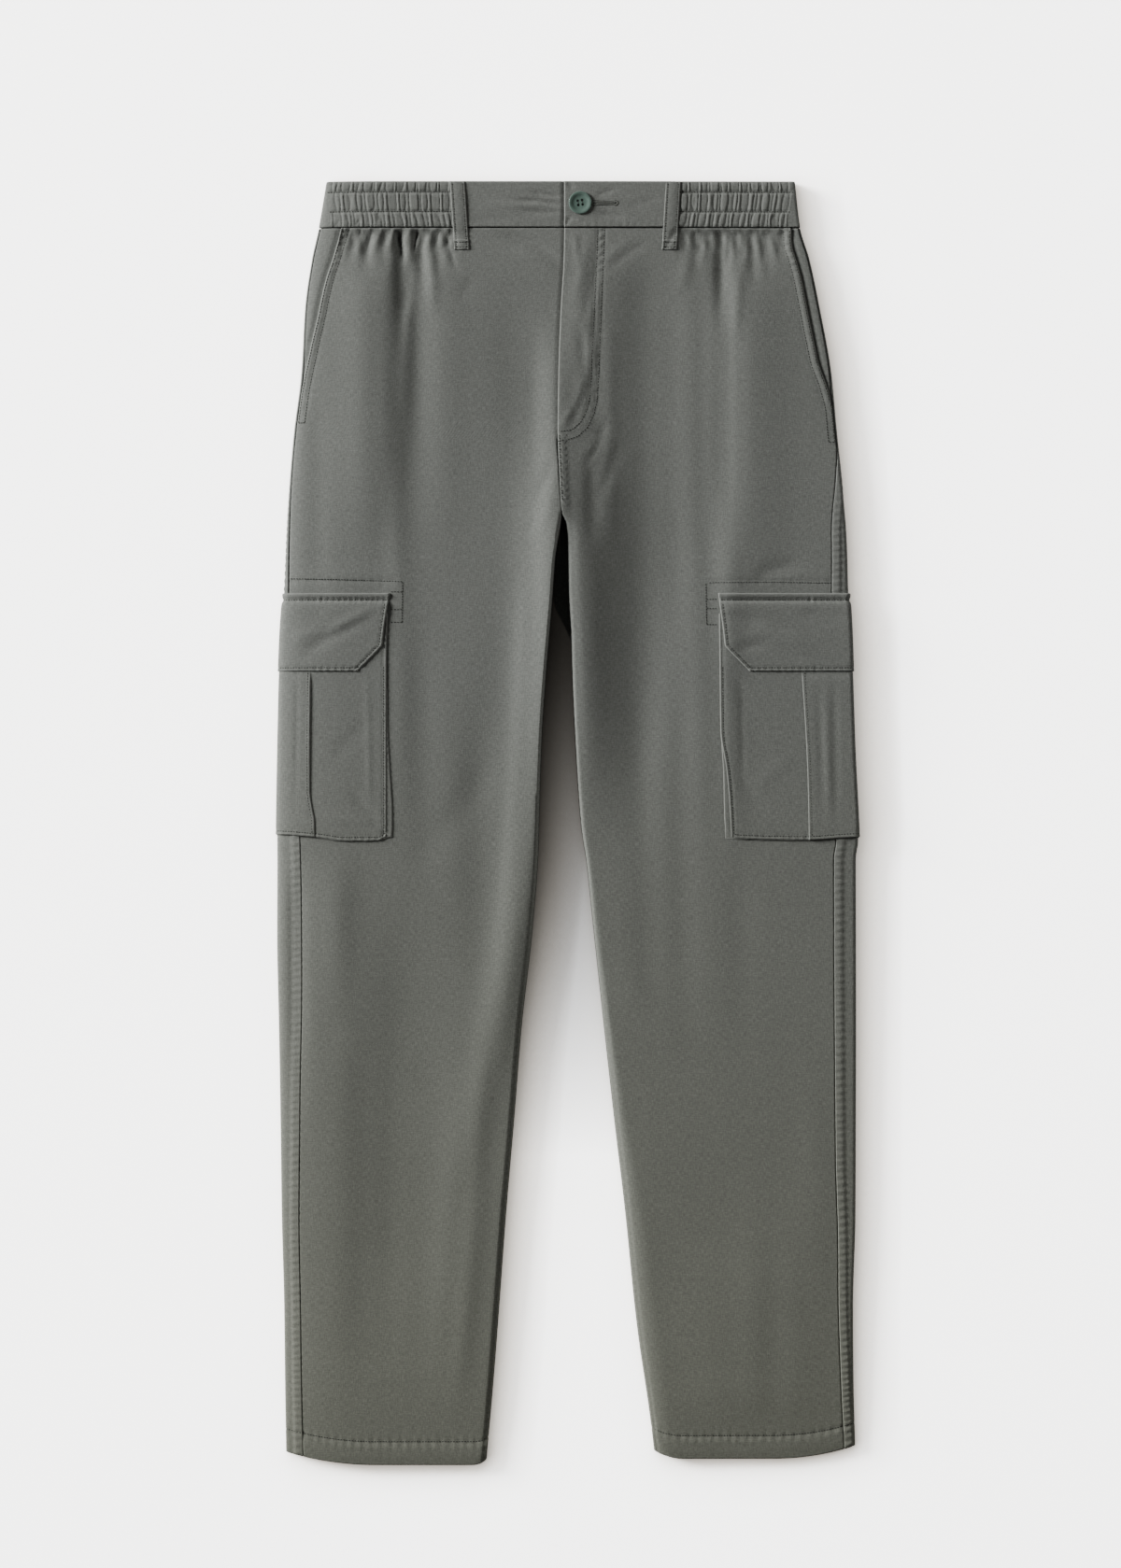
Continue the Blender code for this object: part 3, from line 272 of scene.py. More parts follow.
# %% Tables of the outline and the seams
# down, outer edge, and centre front or inner edge
RIGHT_EDGES = (
    (0, -198.6, -3.9), (38, -205, -3.9), (64, -210.7, -4.3), (103, -216.2, -6.6), (156, -219.2, -8.6),
    (204, -225.2, -9.2), (240, -228.3, -8), (273.6, -230.3, -5.7), (280, -230.6, -6.2),
    (309, -231.8, -10.8), (340, -233.2, -13.1), (371, -235.2, -15.7), (402, -236.4, -18.4),
    (463, -237.8, -22.3), (524, -238.8, -24.2), (540, -239, -24.6), (555, -239, -25.2), (616, -239.2, -30),
    (693, -237.7, -38.7), (770, -236.4, -44.9), (846, -235.4, -51.4), (923, -233.4, -57.1),
    (999, -232.6, -62.9), (1051.5, -231.8, -67.5),
)
LEFT_EDGES = (
    (0, 185, -3.9), (38, 189.4, -3.9), (64, 197.1, -4.3), (103, 205.3, -6.6), (156, 214.8, -8.6),
    (204, 219.4, -9.2), (240, 223.2, -8), (273.6, 226.3, -5.7), (280, 226.9, -2.9), (309, 228.3, -1.2),
    (340, 228.9, -0.4), (371, 230.4, 1.5), (402, 231.4, 2.4), (463, 233.4, 5.3), (524, 236.4, 9.4),
    (540, 237, 11.4), (555, 235.2, 13.8), (616, 235.3, 20.3), (693, 235.4, 28.6), (770, 235.2, 37.2),
    (846, 234.9, 46.2), (923, 232.9, 54), (999, 233.4, 63.6), (1051.5, 234.6, 69.8),
)
# down and inset of the side seam, and of the slanted edge of the hip pocket
RIGHT_SEAM = (
    (0, 1.5), (240, 1.6), (300, 2.4), (400, 8), (470, 14), (540, 19), (620, 20.5), (762, 16.3), (923, 13.6),
    (1051.5, 14),
)
LEFT_SEAM = (
    (0, 1.5), (216, 1.6), (241, 5), (290, 12.5), (432, 15.5), (543, 18.4), (631, 18.3), (798, 16.7),
    (907, 12.6), (1051.5, 9),
)
RIGHT_SLANT = (
    (0, 18.8), (38, 18.8), (60, 17.8), (80, 14.7), (109, 11.5), (137, 6.4), (168, 2.2), (186, 1.6),
    (215, 1.5),
)
LEFT_SLANT = (
    (0, 8), (38, 8), (57, 11.7), (80, 10.8), (116, 10.8), (145, 10.3), (172, 4.4), (189, 1.8), (215, 1.6),
)
SLANT_END = 216.0
# down and across of the centre back seam, and of the cloth between the legs
RIGHT_SEAT = (
    (0, -4.4), (156, -6.2), (204, -6.9), (240, -7), (300, -8.2), (339, -12.9), (346, -12.9),
)
LEFT_SEAT = (
    (0, -4.1), (156, -5.9), (204, -6.6), (240, -6.7), (300, -7.9), (339, -12.5), (373, 0.6),
)
print("levels of the outline:", len(RIGHT_EDGES), "right and", len(LEFT_EDGES), "left")

# %% Tables of the heights, the hems and the cargo pockets
# down and height of the front away from edges and folds
CROWN = (
    (0, 10.3), (38, 11.5), (80, 12.8), (150, 13.6), (250, 14), (400, 15.2), (530, 14.8), (620, 13.7),
    (750, 12.5), (900, 11.2), (990, 10), (1051.5, 7.6),
)
Hem = namedtuple("Hem", "level outer outer_share inner inner_share")
RIGHT_HEM = Hem(0.0, 10.5, 0.45, 4.0, 0.07)
LEFT_HEM = Hem(5.0, 10.5, 0.4, 6.5, 0.15)
# inset of a pocket's front edge at its top, down and across of that edge and of its pleat, how its bottom
# sags from side to side, and how far it reaches underneath
Pocket = namedtuple("Pocket", "front_top front pleat bottom under")
RIGHT_POCKET = Pocket(
    84.7, ((354, -148.2), (400, -149), (530, -149), (538, -149.4)),
    ((401.5, -210.8), (470, -211.4), (501, -211.3), (515, -209.4), (524, -207.8), (538, -207.5)),
    ((-0.4, 0), (0, -3), (0.36, -0.8), (0.64, 2.3), (0.92, 2.1), (1, -1.3)), 88,
)
LEFT_POCKET = Pocket(
    105, ((354, 122.6), (383, 123), (450.6, 123.8), (481.7, 128.5), (510, 131), (538, 132.5)),
    ((401.5, 190.2), (466, 194.2), (500, 195.4), (538, 196.2)),
    ((-0.4, 0), (0, -0.8), (0.43, 1.5), (0.9, 0.5), (1, -0.6)), 70,
)
print("pockets reach underneath by:", RIGHT_POCKET.under, "mm right and", LEFT_POCKET.under, "mm left")

# %% [markdown]
# A curve through the points of a table must not swing past them, or an edge would bulge between two levels.
# The slopes below are harmonic means, which keeps every stretch between its two points.

# %% Curves and small helpers
class Curve:
    """A smooth curve through a table's points that doesn't overshoot them."""

    def __init__(self, points):
        self.at, self.value = (np.array(column, float) for column in zip(*points))
        secants = np.diff(self.value) / np.diff(self.at)
        product = secants[:-1] * secants[1:]
        total = np.where(product > 0.0, secants[:-1] + secants[1:], 1.0)
        inner = np.where(product > 0.0, 2.0 * product / total, 0.0)
        self.slope = np.concatenate([secants[:1], inner, secants[-1:]])

    def __call__(self, at):
        at = np.clip(at, self.at[0], self.at[-1])
        k = np.clip(np.searchsorted(self.at, at, side="right") - 1, 0, len(self.at) - 2)
        span = self.at[k + 1] - self.at[k]
        t = (at - self.at[k]) / span
        start = (1 + 2 * t) * (1 - t) ** 2 * self.value[k] + t * (1 - t) ** 2 * span * self.slope[k]
        finish = t * t * (3 - 2 * t) * self.value[k + 1] - t * t * (1 - t) * span * self.slope[k + 1]
        return start + finish


def smooth(value):
    value = np.clip(value, 0.0, 1.0)
    return value * value * (3.0 - 2.0 * value)


def ramp(low, high, value):
    """0 below low, 1 above high, smooth between them."""
    return smooth((value - low) / (high - low))


def fall(low, high, value):
    """1 below low, 0 above high, smooth between them."""
    return 1.0 - ramp(low, high, value)


def mix(first, second, share):
    return first + (second - first) * share


def dome(share, full=False):
    """A profile that leaves an edge upright and levels off at share 1. A full one turns a tighter corner."""
    share = np.clip(share, 0.0, 1.0)
    if full:
        return (1.0 - (1.0 - share) ** 4) ** 0.25
    return (1.0 - (1.0 - share) ** 2) ** (1.0 / 3.0)


print("a quarter of the way, a smooth step has come to", round(float(smooth(0.25)), 3))

# %% [markdown]
# Both legs have the same edges, only at other places. So one class holds a leg's curves, and every piece is
# made by a function of the leg, once for the right and once for the left.

# %% A leg and its edges
class Leg:
    """One side of the trousers, with its edges as functions of the distance down."""

    def __init__(self, name, sign, edges, seam, slant, seat, loop, pocket, hem):
        self.name = name
        self.sign = sign
        self.is_left = sign > 0
        self.outer = Curve([(down, outer) for down, outer, inner in edges])
        self.inner = Curve([(down, inner) for down, outer, inner in edges])
        self.seam = Curve(seam)
        self.slant = Curve(slant)
        self.seat = Curve(seat)
        self.seat_end = seat[-1][0]
        self.loop = loop
        self.pocket = pocket
        self.bag_front = Curve(pocket.front)
        self.bag_pleat = Curve(pocket.pleat)
        self.bag_sag = Curve(pocket.bottom)
        self.hem = hem

    def width(self, down):
        return self.sign * (self.outer(down) - self.inner(down))

    def across(self, down, inset):
        return self.outer(down) - self.sign * inset

    def inset(self, down, across):
        return self.sign * (self.outer(down) - across)

    def front_edge(self, down):
        """Inset of the front's outer edge: the slanted pocket edge, then the side seam."""
        slanted = np.maximum(self.slant(down), self.seam(down) + SEAM)
        return np.where(down < SLANT_END, slanted, self.seam(down) + SEAM / 2)

    def back_edge(self, down):
        """Inset of the back's edge at the side seam."""
        return self.seam(down) - SEAM / 2

    def joint(self, down):
        """Inset of the elastic's end, under the middle of the belt loop."""
        return self.inset(down, self.loop) - SEAM / 2

    def bag_edge(self, down):
        """Inset of the cargo pocket's front edge."""
        return self.inset(down, self.bag_front(down))

    def pleat_edge(self, down):
        """Inset of the box pleat's front edge."""
        return self.inset(down, self.bag_pleat(down))


RIGHT_LOOP = -90.2
LEFT_LOOP = 84.5
RIGHT = Leg(
    "right", -1, RIGHT_EDGES, RIGHT_SEAM, RIGHT_SLANT, RIGHT_SEAT, RIGHT_LOOP, RIGHT_POCKET, RIGHT_HEM,
)
LEFT = Leg(
    "left", 1, LEFT_EDGES, LEFT_SEAM, LEFT_SLANT, LEFT_SEAT, LEFT_LOOP, LEFT_POCKET, LEFT_HEM,
)
crown = Curve(CROWN)


def both(make):
    """Make a piece for each leg, the right one first."""
    return {leg.name: make(leg) for leg in (RIGHT, LEFT)}


print("width of each leg at the hem in mm:", both(lambda leg: round(float(leg.width(LENGTH)), 1)))

# %% [markdown]
# ## Folds, gathers and creases
# Cloth that lies flat keeps a memory of the body: long soft folds run from the waist to the knee, short
# gathers fan out under the elastic, and small creases pull towards whatever holds the cloth, such as the
# button and the crotch. Each is a low ridge or trough along a line, written with its own ends, depth and
# width, because no two are alike.

# %% Folds and gathers of the fronts
# A fold runs from start to end down the leg, through three places across. It has a height and a half width,
# and fades in and out. A gather hangs from the waistband and drifts sideways as it fades.
Fold = namedtuple("Fold", "start end first middle last height width fade_in fade_out")
Gather = namedtuple("Gather", "across drift length depth width")


def rows_of(kind, *rows):
    """Records of one kind from rows of their numbers."""
    return [kind(*row) for row in rows]


FOLDS = rows_of(
    Fold,
    # the right leg, from the waist down
    (45, 345, -166, -165, -163, 2.3, 20, 60, 140), (40, 300, -150, -150, -150, 0.6, 8, 40, 120),
    (40, 420, -140, -141, -143, 0.4, 8, 40, 160), (40, 230, -133, -133, -134, 0.9, 6, 20, 120),
    (40, 345, -126, -124, -125, -1.4, 13, 24, 230), (45, 345, -99, -100, -102, 0.4, 15, 60, 140),
    (60, 560, -49, -42, -82, -0.9, 20, 90, 160), (95, 860, -10, -26, -96, 3, 15, 90, 250),
    (150, 420, -205, -206, -208, -0.6, 10, 60, 140), (100, 420, -28, -28, -30, -0.3, 7, 60, 120),
    (250, 560, -138, -138, -138, 0.5, 12, 80, 140), (340, 620, -120, -118, -116, -0.5, 14, 80, 120),
    (300, 700, -12, -24, -44, 0.45, 5, 80, 160), (300, 700, -34, -44, -62, 0.6, 7, 80, 160),
    (400, 700, -75, -72, -70, -0.8, 16, 100, 140), (500, 900, -46, -60, -86, -0.35, 9, 100, 160),
    (540, 800, -222, -223, -224, -1.2, 8, 60, 140), (540, 700, -190, -190, -190, 0.95, 14, 50, 100),
    (560, 960, -136, -135, -134, -0.9, 26, 120, 140), (560, 1010, -104, -110, -118, -1.1, 38, 160, 200),
    (620, 1020, -88, -96, -110, 0.25, 16, 120, 140), (640, 1020, -145, -148, -150, -0.55, 14, 120, 120),
    (640, 1020, -165, -168, -170, -0.6, 14, 120, 120), (700, 1040, -86, -98, -112, 0.4, 12, 100, 120),
    (700, 1040, -68, -80, -96, 0.8, 10, 100, 120),
    # the left leg
    (60, 560, 12, 14, 19, 1.4, 14, 60, 200), (90, 340, 33, 33, 33, 0.6, 7, 60, 120),
    (45, 600, 65, 62, 48, -2.4, 22, 60, 200), (60, 420, 88, 88, 88, -1.3, 14, 60, 140),
    (60, 420, 110, 112, 114, -1.5, 14, 60, 140), (50, 330, 124, 124, 123, -0.75, 6, 60, 120),
    (50, 330, 131, 131, 130, -0.8, 5, 60, 120), (50, 330, 139, 139, 138, -0.35, 6, 60, 120),
    (50, 430, 146, 147, 138, 1.4, 28, 60, 160), (250, 600, 108, 108, 110, 0.65, 12, 80, 160),
    (250, 600, 130, 130, 130, 0.95, 12, 80, 160), (380, 760, 60, 64, 72, -0.7, 14, 100, 140),
    (380, 760, 90, 92, 96, -0.6, 14, 100, 140), (540, 760, 140, 142, 144, -0.3, 12, 60, 140),
    (850, 1045, 118, 123, 128, 0.7, 30, 90, 60), (800, 1045, 150, 152, 154, 0.7, 16, 120, 80),
    (800, 1045, 180, 182, 184, 0.65, 16, 120, 80), (700, 1040, 200, 202, 204, 0.35, 14, 100, 120),
)
GATHERS = rows_of(
    Gather,
    (-176, -3, 34, 1.6, 3.6), (-164.5, -2, 46, 1.9, 4), (-151.5, 1, 40, 1.6, 4), (-138, 2, 130, 2.6, 5),
    (-121.5, 3, 62, 2.2, 4.6), (-110, 5, 48, 1.8, 4), (-100, 2, 26, 1.2, 3.4), (95, -1, 30, 1.3, 3.4),
    (104, 0, 44, 1.7, 4), (114.5, 1, 38, 1.6, 4), (124, 0.5, 95, 2.5, 4.8), (137, 2, 50, 1.8, 4.2),
    (149, 3, 58, 2, 4.2), (161, 4, 46, 1.7, 4), (173, 4, 36, 1.5, 3.6),
)
print("folds:", len(FOLDS), " gathers:", len(GATHERS))

# %% Small creases of the fronts
# A crease runs from (x0, down0) to (x1, down1), bends sideways in its middle, and rises or sinks by its
# height.
Crease = namedtuple("Crease", "x0 down0 x1 down1 bend height width")
FRONT_CREASES = rows_of(
    Crease,
    # under the right elastic
    (-141, 40, -136, 66, 1, -2, 1.7), (-123, 40, -127, 60, -1, -2, 1.6), (-131, 60, -135, 112, 1, -0.9, 4),
    (-117, 48, -111, 108, 1.5, 0.9, 5), (-104, 39, -92, 74, 0.5, -0.8, 2.2),
    (-97, 39, -91, 58, 0.5, -0.6, 1.8), (-88, 98, -76, 78, 1, -0.25, 5), (-172, 39, -168, 63, 1, -0.7, 1.9),
    (-160, 39, -165, 66, -1, -0.7, 1.9), (-184, 40, -187, 62, 0, -0.5, 1.6),
    # from the waistband to the fly
    (-58, 43, -6, 65, 3, -0.8, 4), (-46, 58, -8, 76, 2, 0.4, 5), (16, 44, 2, 104, 1.5, 0.45, 4),
    (4, 42, 8, 74, 0.5, 0.5, 3), (24, 62, 9, 122, 1, -0.4, 4), (66, 50, 29, 76, -2, -0.3, 3.2),
    (52, 48, 30, 64, -1, 0.25, 3.5), (19, 128, 3, 196, 2, 0.6, 5), (8, 118, 15, 176, 1, -0.6, 4),
    (14, 168, 0, 204, 1, -0.5, 2.6), (2, 186, -7, 203, 0, 0.4, 2.4),
    # the crotch
    (31, 196, 12, 236, 1, -0.5, 3), (27, 206, 14, 226, 0.5, 0.4, 2.6), (18, 226, 19, 300, 0, -0.9, 6),
    (40, 214, 24, 262, 1.5, -0.5, 5), (-14, 228, -26, 262, 1, -0.5, 4), (-12, 250, -30, 300, 1, 0.4, 5),
    # under the left elastic
    (88, 39, 78, 58, 0, -0.6, 2), (109, 39, 107, 62, 0.5, -0.8, 2), (131, 39, 130, 72, 0.5, -1, 2.2),
    (143, 39, 142, 66, 0.5, -0.7, 2), (155, 39, 160, 70, 0.5, -0.8, 2.2), (166, 39, 173, 66, 0.5, -0.6, 2),
    (139, 52, 136, 130, 0.5, 0.8, 5.5), (98, 62, 90, 92, 0.5, 0.4, 5),
    # above the cargo flaps and down the legs
    (150, 325, 194, 313, 2, -0.7, 6), (-214, 306, -168, 318, 2, -0.4, 6),
    (-60, 470, -132, 560, 6, -0.35, 12), (40, 640, 110, 720, -8, 0.35, 14),
    (-190, 700, -120, 742, 5, 0.3, 12), (-170, 860, -96, 900, 6, -0.3, 12),
    (92, 880, 196, 930, 6, 0.35, 13), (86, 968, 180, 988, 4, -0.3, 10), (-214, 962, -120, 984, -4, 0.3, 9),
)
print("creases of the fronts:", len(FRONT_CREASES))

# %% Their heights
def crease_height(creases, across, down):
    """Sum of the creases at a place, each soft towards its ends."""
    height = np.zeros(np.broadcast(across, down).shape)
    for crease in creases:
        run = np.array([crease.x1 - crease.x0, crease.down1 - crease.down0], float)
        length = math.hypot(*run)
        run /= length
        along = ((across - crease.x0) * run[0] + (down - crease.down0) * run[1]) / length
        beside = (across - crease.x0) * run[1] - (down - crease.down0) * run[0]
        beside = beside - 4.0 * crease.bend * along * (1.0 - along)
        ends = smooth((along + 0.1) / 0.4) * smooth((1.1 - along) / 0.5)
        height = height + crease.height * ends * np.exp(-(beside / crease.width) ** 2)
    return height


def fold_height(across, down):
    """Rise of the front's surface from its long folds and its gathers."""
    height = np.zeros(np.broadcast(across, down).shape)
    for fold in FOLDS:
        share = np.clip((down - fold.start) / (fold.end - fold.start), 0.0, 1.0)
        ahead = (1 - share) * (1 - 2 * share) * fold.first + share * (2 * share - 1) * fold.last
        centre = ahead + 4 * share * (1 - share) * fold.middle
        strength = ramp(fold.start, fold.start + fold.fade_in, down)
        strength = strength * fall(fold.end - fold.fade_out, fold.end, down)
        height = height + fold.height * strength * np.exp(-(((across - centre) / fold.width) ** 2))
    for gather in GATHERS:
        share = np.clip((down - BAND_DEPTH) / gather.length, 0.0, 1.0)
        centre = gather.across + gather.drift * share
        strength = ramp(0.0, 7.0, down - BAND_DEPTH) * (1.0 - smooth(share))
        height = height - gather.depth * strength * np.exp(-(((across - centre) / gather.width) ** 2))
    return height


print("folds 300 mm down, 165 mm right of the middle, in mm:", round(float(fold_height(-165.0, 300.0)), 2))

# %% [markdown]
# ## The section of a leg
# At each level the section is one closed path. It rises over the front as a low dome, rounds the folded
# outer edge, runs flat along the floor and turns up at the inner edge. A place on it is named by a distance
# from the outer edge: above 0 over the front, below 0 round the edge and in underneath.

# %% The section as a surface
ROLL = EDGE_ROLL * math.pi / 2
TURN_END = math.acos(SEAM / 2 / EDGE_ROLL)
LIFT_START = 322.0
BACK_LOOP_CLOTH = 1.0
POCKET_CLEAR = 0.05
TURN_UP = {"right": (334.0, 358.0), "left": (370.0, 400.0)}  # down of where the back starts to turn up
INNER_DROP = (268.0, 296.0)      # down of where the front comes down at the inner edge
BUNCH = 6.0              # how high the cloth bunches up round the crotch
BUNCH_AT = -8.0          # across of the bunch
BUNCH_WIDTHS = (34.0, 46.0)      # its half widths on the right and on the left
MITRE = 4.0              # how far in from the left leg's outer edge the layers keep a square corner


def lift(leg, down, inset):
    """How far the back is held up by the pocket and the belt loops under it."""
    along = ramp(LIFT_START, FLAP_TOP - 1.0, down) * FLAP_OUT
    along = along + ramp(LIFT_START, LIFT_START + 8.0, down) * POCKET_CLEAR
    along = along - ramp(FLAP_BOTTOM, FLAP_BOTTOM + 10.5, down) * (FLAP_OUT - BAG_OUT)
    along = along - ramp(BAG_BOTTOM + 1.5, BAG_BOTTOM + 20.0, down) * BAG_OUT
    reach = leg.pocket.under + 10.0
    pocket = along * fall(reach, reach + 24.0, inset)
    across = leg.across(down, inset)
    near = np.minimum(np.abs(across - RIGHT_LOOP), np.abs(across - LEFT_LOOP))
    loops = (BACK_LOOP_CLOTH + 0.4) * fall(24.0, 48.0, near)
    return pocket + loops * fall(LOOP_LENGTH + 2.0, LOOP_LENGTH + 24.0, down)


def turn_up(leg, down):
    """1 where the back turns up round the leg's inner edge, 0 where it lies flat between the legs."""
    return ramp(*TURN_UP[leg.name], down)


def top_height(leg, down, inset, creased=True):
    """Height of the front's outer face."""
    low = EDGE_ROLL + lift(leg, down, 0.0)
    outer_dome, inner_dome = DOMES[leg.name]
    height = crown(down) - TILT[leg.name] * (1.0 - np.clip(inset / 170.0, 0.0, 1.0))
    if leg.is_left:
        outer_dome = mix(0.5 * outer_dome, outer_dome, ramp(900.0, 1050.0, down))
    height = mix(low, height, dome(inset / outer_dome, leg.is_left))
    from_inner = leg.width(down) - inset
    drop = ramp(*INNER_DROP, down)
    mask = smooth(inset / 14.0) * (1.0 - drop * (1.0 - smooth(from_inner / INNER_SOFT[leg.name])))
    across = leg.across(down, inset)
    bunched = ramp(170.0, 300.0, down) * fall(340.0, 560.0, down)
    beside = (across - BUNCH_AT) / np.where(across < BUNCH_AT, *BUNCH_WIDTHS)
    height = height + BUNCH * bunched * np.exp(-(beside ** 2))
    height = height + fold_height(across, down) * mask
    if creased:
        height = height + crease_height(FRONT_CREASES, across, down) * mask
    inner_dome = mix(4.0, inner_dome, ramp(600.0, 950.0, down))
    bottom = mix(1.7, EDGE_ROLL + SEAM / 2, turn_up(leg, down))
    rise = dome(from_inner / inner_dome, True)
    if leg.is_left:
        rise = mix(rise, dome(from_inner / inner_dome), ramp(420.0, 800.0, down))
    return mix(height, mix(bottom, height, rise), drop)


print("height of the right thigh in mm:", round(float(top_height(RIGHT, 500.0, 110.0)), 1))

# %% The parts of the path: over the front, round the edge and underneath
def over(leg, down, inset):
    """(x, z, out_x, out_z) on the front's outer face."""
    from_inner = np.abs(leg.width(down) - inset)
    step = np.maximum(0.01, 0.05 * np.minimum(np.minimum(np.abs(inset), from_inner), 12.0))
    before = np.maximum(0.0, inset - step)
    after = np.where(down > 228.0, np.minimum(inset + step, leg.width(down)), inset + step)
    run_x = -leg.sign * (after - before)
    run_z = top_height(leg, down, after, False) - top_height(leg, down, before, False)
    length = leg.sign * np.hypot(run_x, run_z)
    return leg.across(down, inset), top_height(leg, down, inset), run_z / length, -run_x / length


def round_edge(leg, down, u):
    """The same on the lower half of the folded outer edge."""
    angle = np.clip(-u / EDGE_ROLL, 0.0, math.pi / 2)
    out_x = leg.sign * np.cos(angle)
    out_z = -np.sin(angle)
    x = leg.across(down, EDGE_ROLL) + EDGE_ROLL * out_x
    return x, EDGE_ROLL + lift(leg, down, 0.0) + EDGE_ROLL * out_z, out_x, out_z


def underneath(leg, down, u):
    """The same on the underside, up to where the back ends or turns up at the inner edge."""
    inset = EDGE_ROLL - u - ROLL
    last = leg.width(down) - EDGE_ROLL
    angle = np.clip((inset - last) / EDGE_ROLL, 0.0, TURN_END)
    seat = np.where(down < leg.seat_end, leg.seat(down), leg.inner(down))
    rolled_x = leg.inner(down) + leg.sign * EDGE_ROLL * (1.0 - np.sin(angle))
    flat_x = mix(leg.inner(down) + leg.sign * EDGE_ROLL, seat, angle / TURN_END)
    share = turn_up(leg, down)
    turned = inset > last
    x = np.where(turned, mix(flat_x, rolled_x, share), leg.across(down, inset))
    rise = np.where(turned, EDGE_ROLL * (1.0 - np.cos(angle)) * share, 0.0)
    out_x = np.where(turned, -leg.sign * np.sin(angle) * share, 0.0)
    out_z = np.where(turned, -mix(1.0, np.cos(angle), share), -1.0)
    length = np.hypot(out_x, out_z)
    return x, lift(leg, down, np.minimum(inset, leg.width(down))) + rise, out_x / length, out_z / length


# %% Places on the whole path
def hem_rise(leg, down, share):
    """How much shorter the leg is at this share of its width, near the hem."""
    hem = leg.hem
    outer = hem.outer * np.maximum(0.0, 1.0 - share / hem.outer_share) ** 2
    inner = hem.inner * np.maximum(0.0, 1.0 - (1.0 - share) / hem.inner_share) ** 2
    return (hem.level + outer + inner) * ramp(940.0, 1040.0, down)


def on_leg(leg, down, u, out=0.0):
    """Points of the garment in mm, moved out of the surface, and the directions out of it."""
    down, u, out = (np.array(part, float) for part in np.broadcast_arrays(down, u, out))
    front = over(leg, down, np.maximum(u, 0.0))
    edge = round_edge(leg, down, u)
    if leg.is_left:
        front = (*front[:2], np.where(u < MITRE, np.sqrt(np.clip(1.0 - u / MITRE, 0.0, 1.0)), front[2]),
                 np.where(u < MITRE, smooth(u / 0.5), front[3]))
    below = underneath(leg, down, np.minimum(u, -ROLL))
    x, z, out_x, out_z = (
        np.where(u >= 0.0, top, np.where(u > -ROLL, side, base))
        for top, side, base in zip(front, edge, below)
    )
    share = np.clip(leg.inset(down, x) / leg.width(down), 0.0, 1.0)
    y = LENGTH / 2 - down + hem_rise(leg, down, share)
    places = np.stack([x + out_x * out, y, z + out_z * out], axis=-1)
    return places, np.stack([out_x, np.zeros_like(x), out_z], axis=-1)


print("outer corner of the right hem in mm:", np.round(on_leg(RIGHT, LENGTH, 0.0)[0], 1))

# %% [markdown]
# ## Making a shell of cloth
# A grid primitive already has tidy rows and columns, so each vertex can be sent to its place by its row and
# column, and a UV map in real metres lets the weave follow the cloth. Solidify then gives the shell its
# thickness, inwards, so that the outer face stays where the sections put it.

# %% A grid placed by rows and columns
def shell(name, places, outward, worn, thickness, material):
    """A closed thin shell through an array of places (rows, columns, 3) in mm."""
    rows, columns = places.shape[:2]
    bpy.ops.object.select_all(action="DESELECT")
    bpy.ops.mesh.primitive_grid_add(x_subdivisions=columns - 1, y_subdivisions=rows - 1, size=1.0)
    piece = bpy.context.active_object
    piece.name = name
    mesh = piece.data
    mesh.name = name
    mesh.vertices.foreach_set("co", (places * MM).astype(np.float32).ravel())
    mesh.update()
    middle = (rows // 2) * (columns - 1) + columns // 2
    row, column = divmod(middle, columns - 1)
    if mesh.polygons[middle].normal.dot(Vector(outward[row, column])) < 0.0:
        mesh.flip_normals()
    add_layers(mesh, places, worn)
    wall = piece.modifiers.new("thickness", "SOLIDIFY")
    wall.thickness = thickness * MM
    wall.offset = -1.0
    wall.use_even_offset = False
    bpy.ops.object.modifier_apply(modifier=wall.name)
    bpy.ops.object.shade_smooth_by_angle(angle=math.radians(52))
    mesh.materials.append(material)
    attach(piece, "root")
    return piece


def leg_piece(leg, name, solid, placed, worn, thickness=CLOTH):
    """A shell of cloth on one side of the garment, in the place of a solid of that side."""
    places, outward = placed
    worn = np.clip(worn, 0.0, 1.0)
    piece = shell(name + "_" + leg.name, places, outward, worn, thickness, CLOTH_MATERIAL)
    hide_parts(solid + "_" + leg.name)
    print(piece.name, "polygons:", len(piece.data.polygons))
    return piece


def add_layers(mesh, places, worn):
    """A UV map in metres along the cloth, and how worn the cloth is at each vertex."""
    steps = np.linalg.norm(np.diff(places, axis=1), axis=-1)
    across = np.concatenate([np.zeros((len(places), 1)), np.cumsum(steps, axis=1)], axis=1)
    across = across - across[:, -1:] / 2
    along = np.broadcast_to(places[:, :, 1], across.shape)
    uv = np.stack([across, along], axis=-1).reshape(-1, 2) * MM
    corners = np.zeros(len(mesh.loops), np.int32)
    mesh.loops.foreach_get("vertex_index", corners)
    mesh.uv_layers.active.data.foreach_set("uv", uv[corners].astype(np.float32).ravel())
    layer = mesh.attributes.new("worn", "FLOAT", "POINT")
    layer.data.foreach_set("value", np.broadcast_to(worn, across.shape).astype(np.float32).ravel())


# %% Small profiles, and steps that are fine at the edges
def rounded(distance, radius):
    """Offset of a face that rounds off towards an edge at distance 0."""
    near = 1.0 - np.clip(distance / radius, 0.0, 1.0)
    return -radius * (1.0 - np.sqrt(np.maximum(0.0, 1.0 - near ** 2)))


def trough(distance, width):
    return np.exp(-((distance / width) ** 2))


def ripple(along, pitch, phase=0.0):
    """An uneven wave between -1 and 1, for puckers along stitching."""
    return np.sin(along * 2 * math.pi / pitch + 1.6 * np.sin(along / (3.1 * pitch) + phase) + phase)


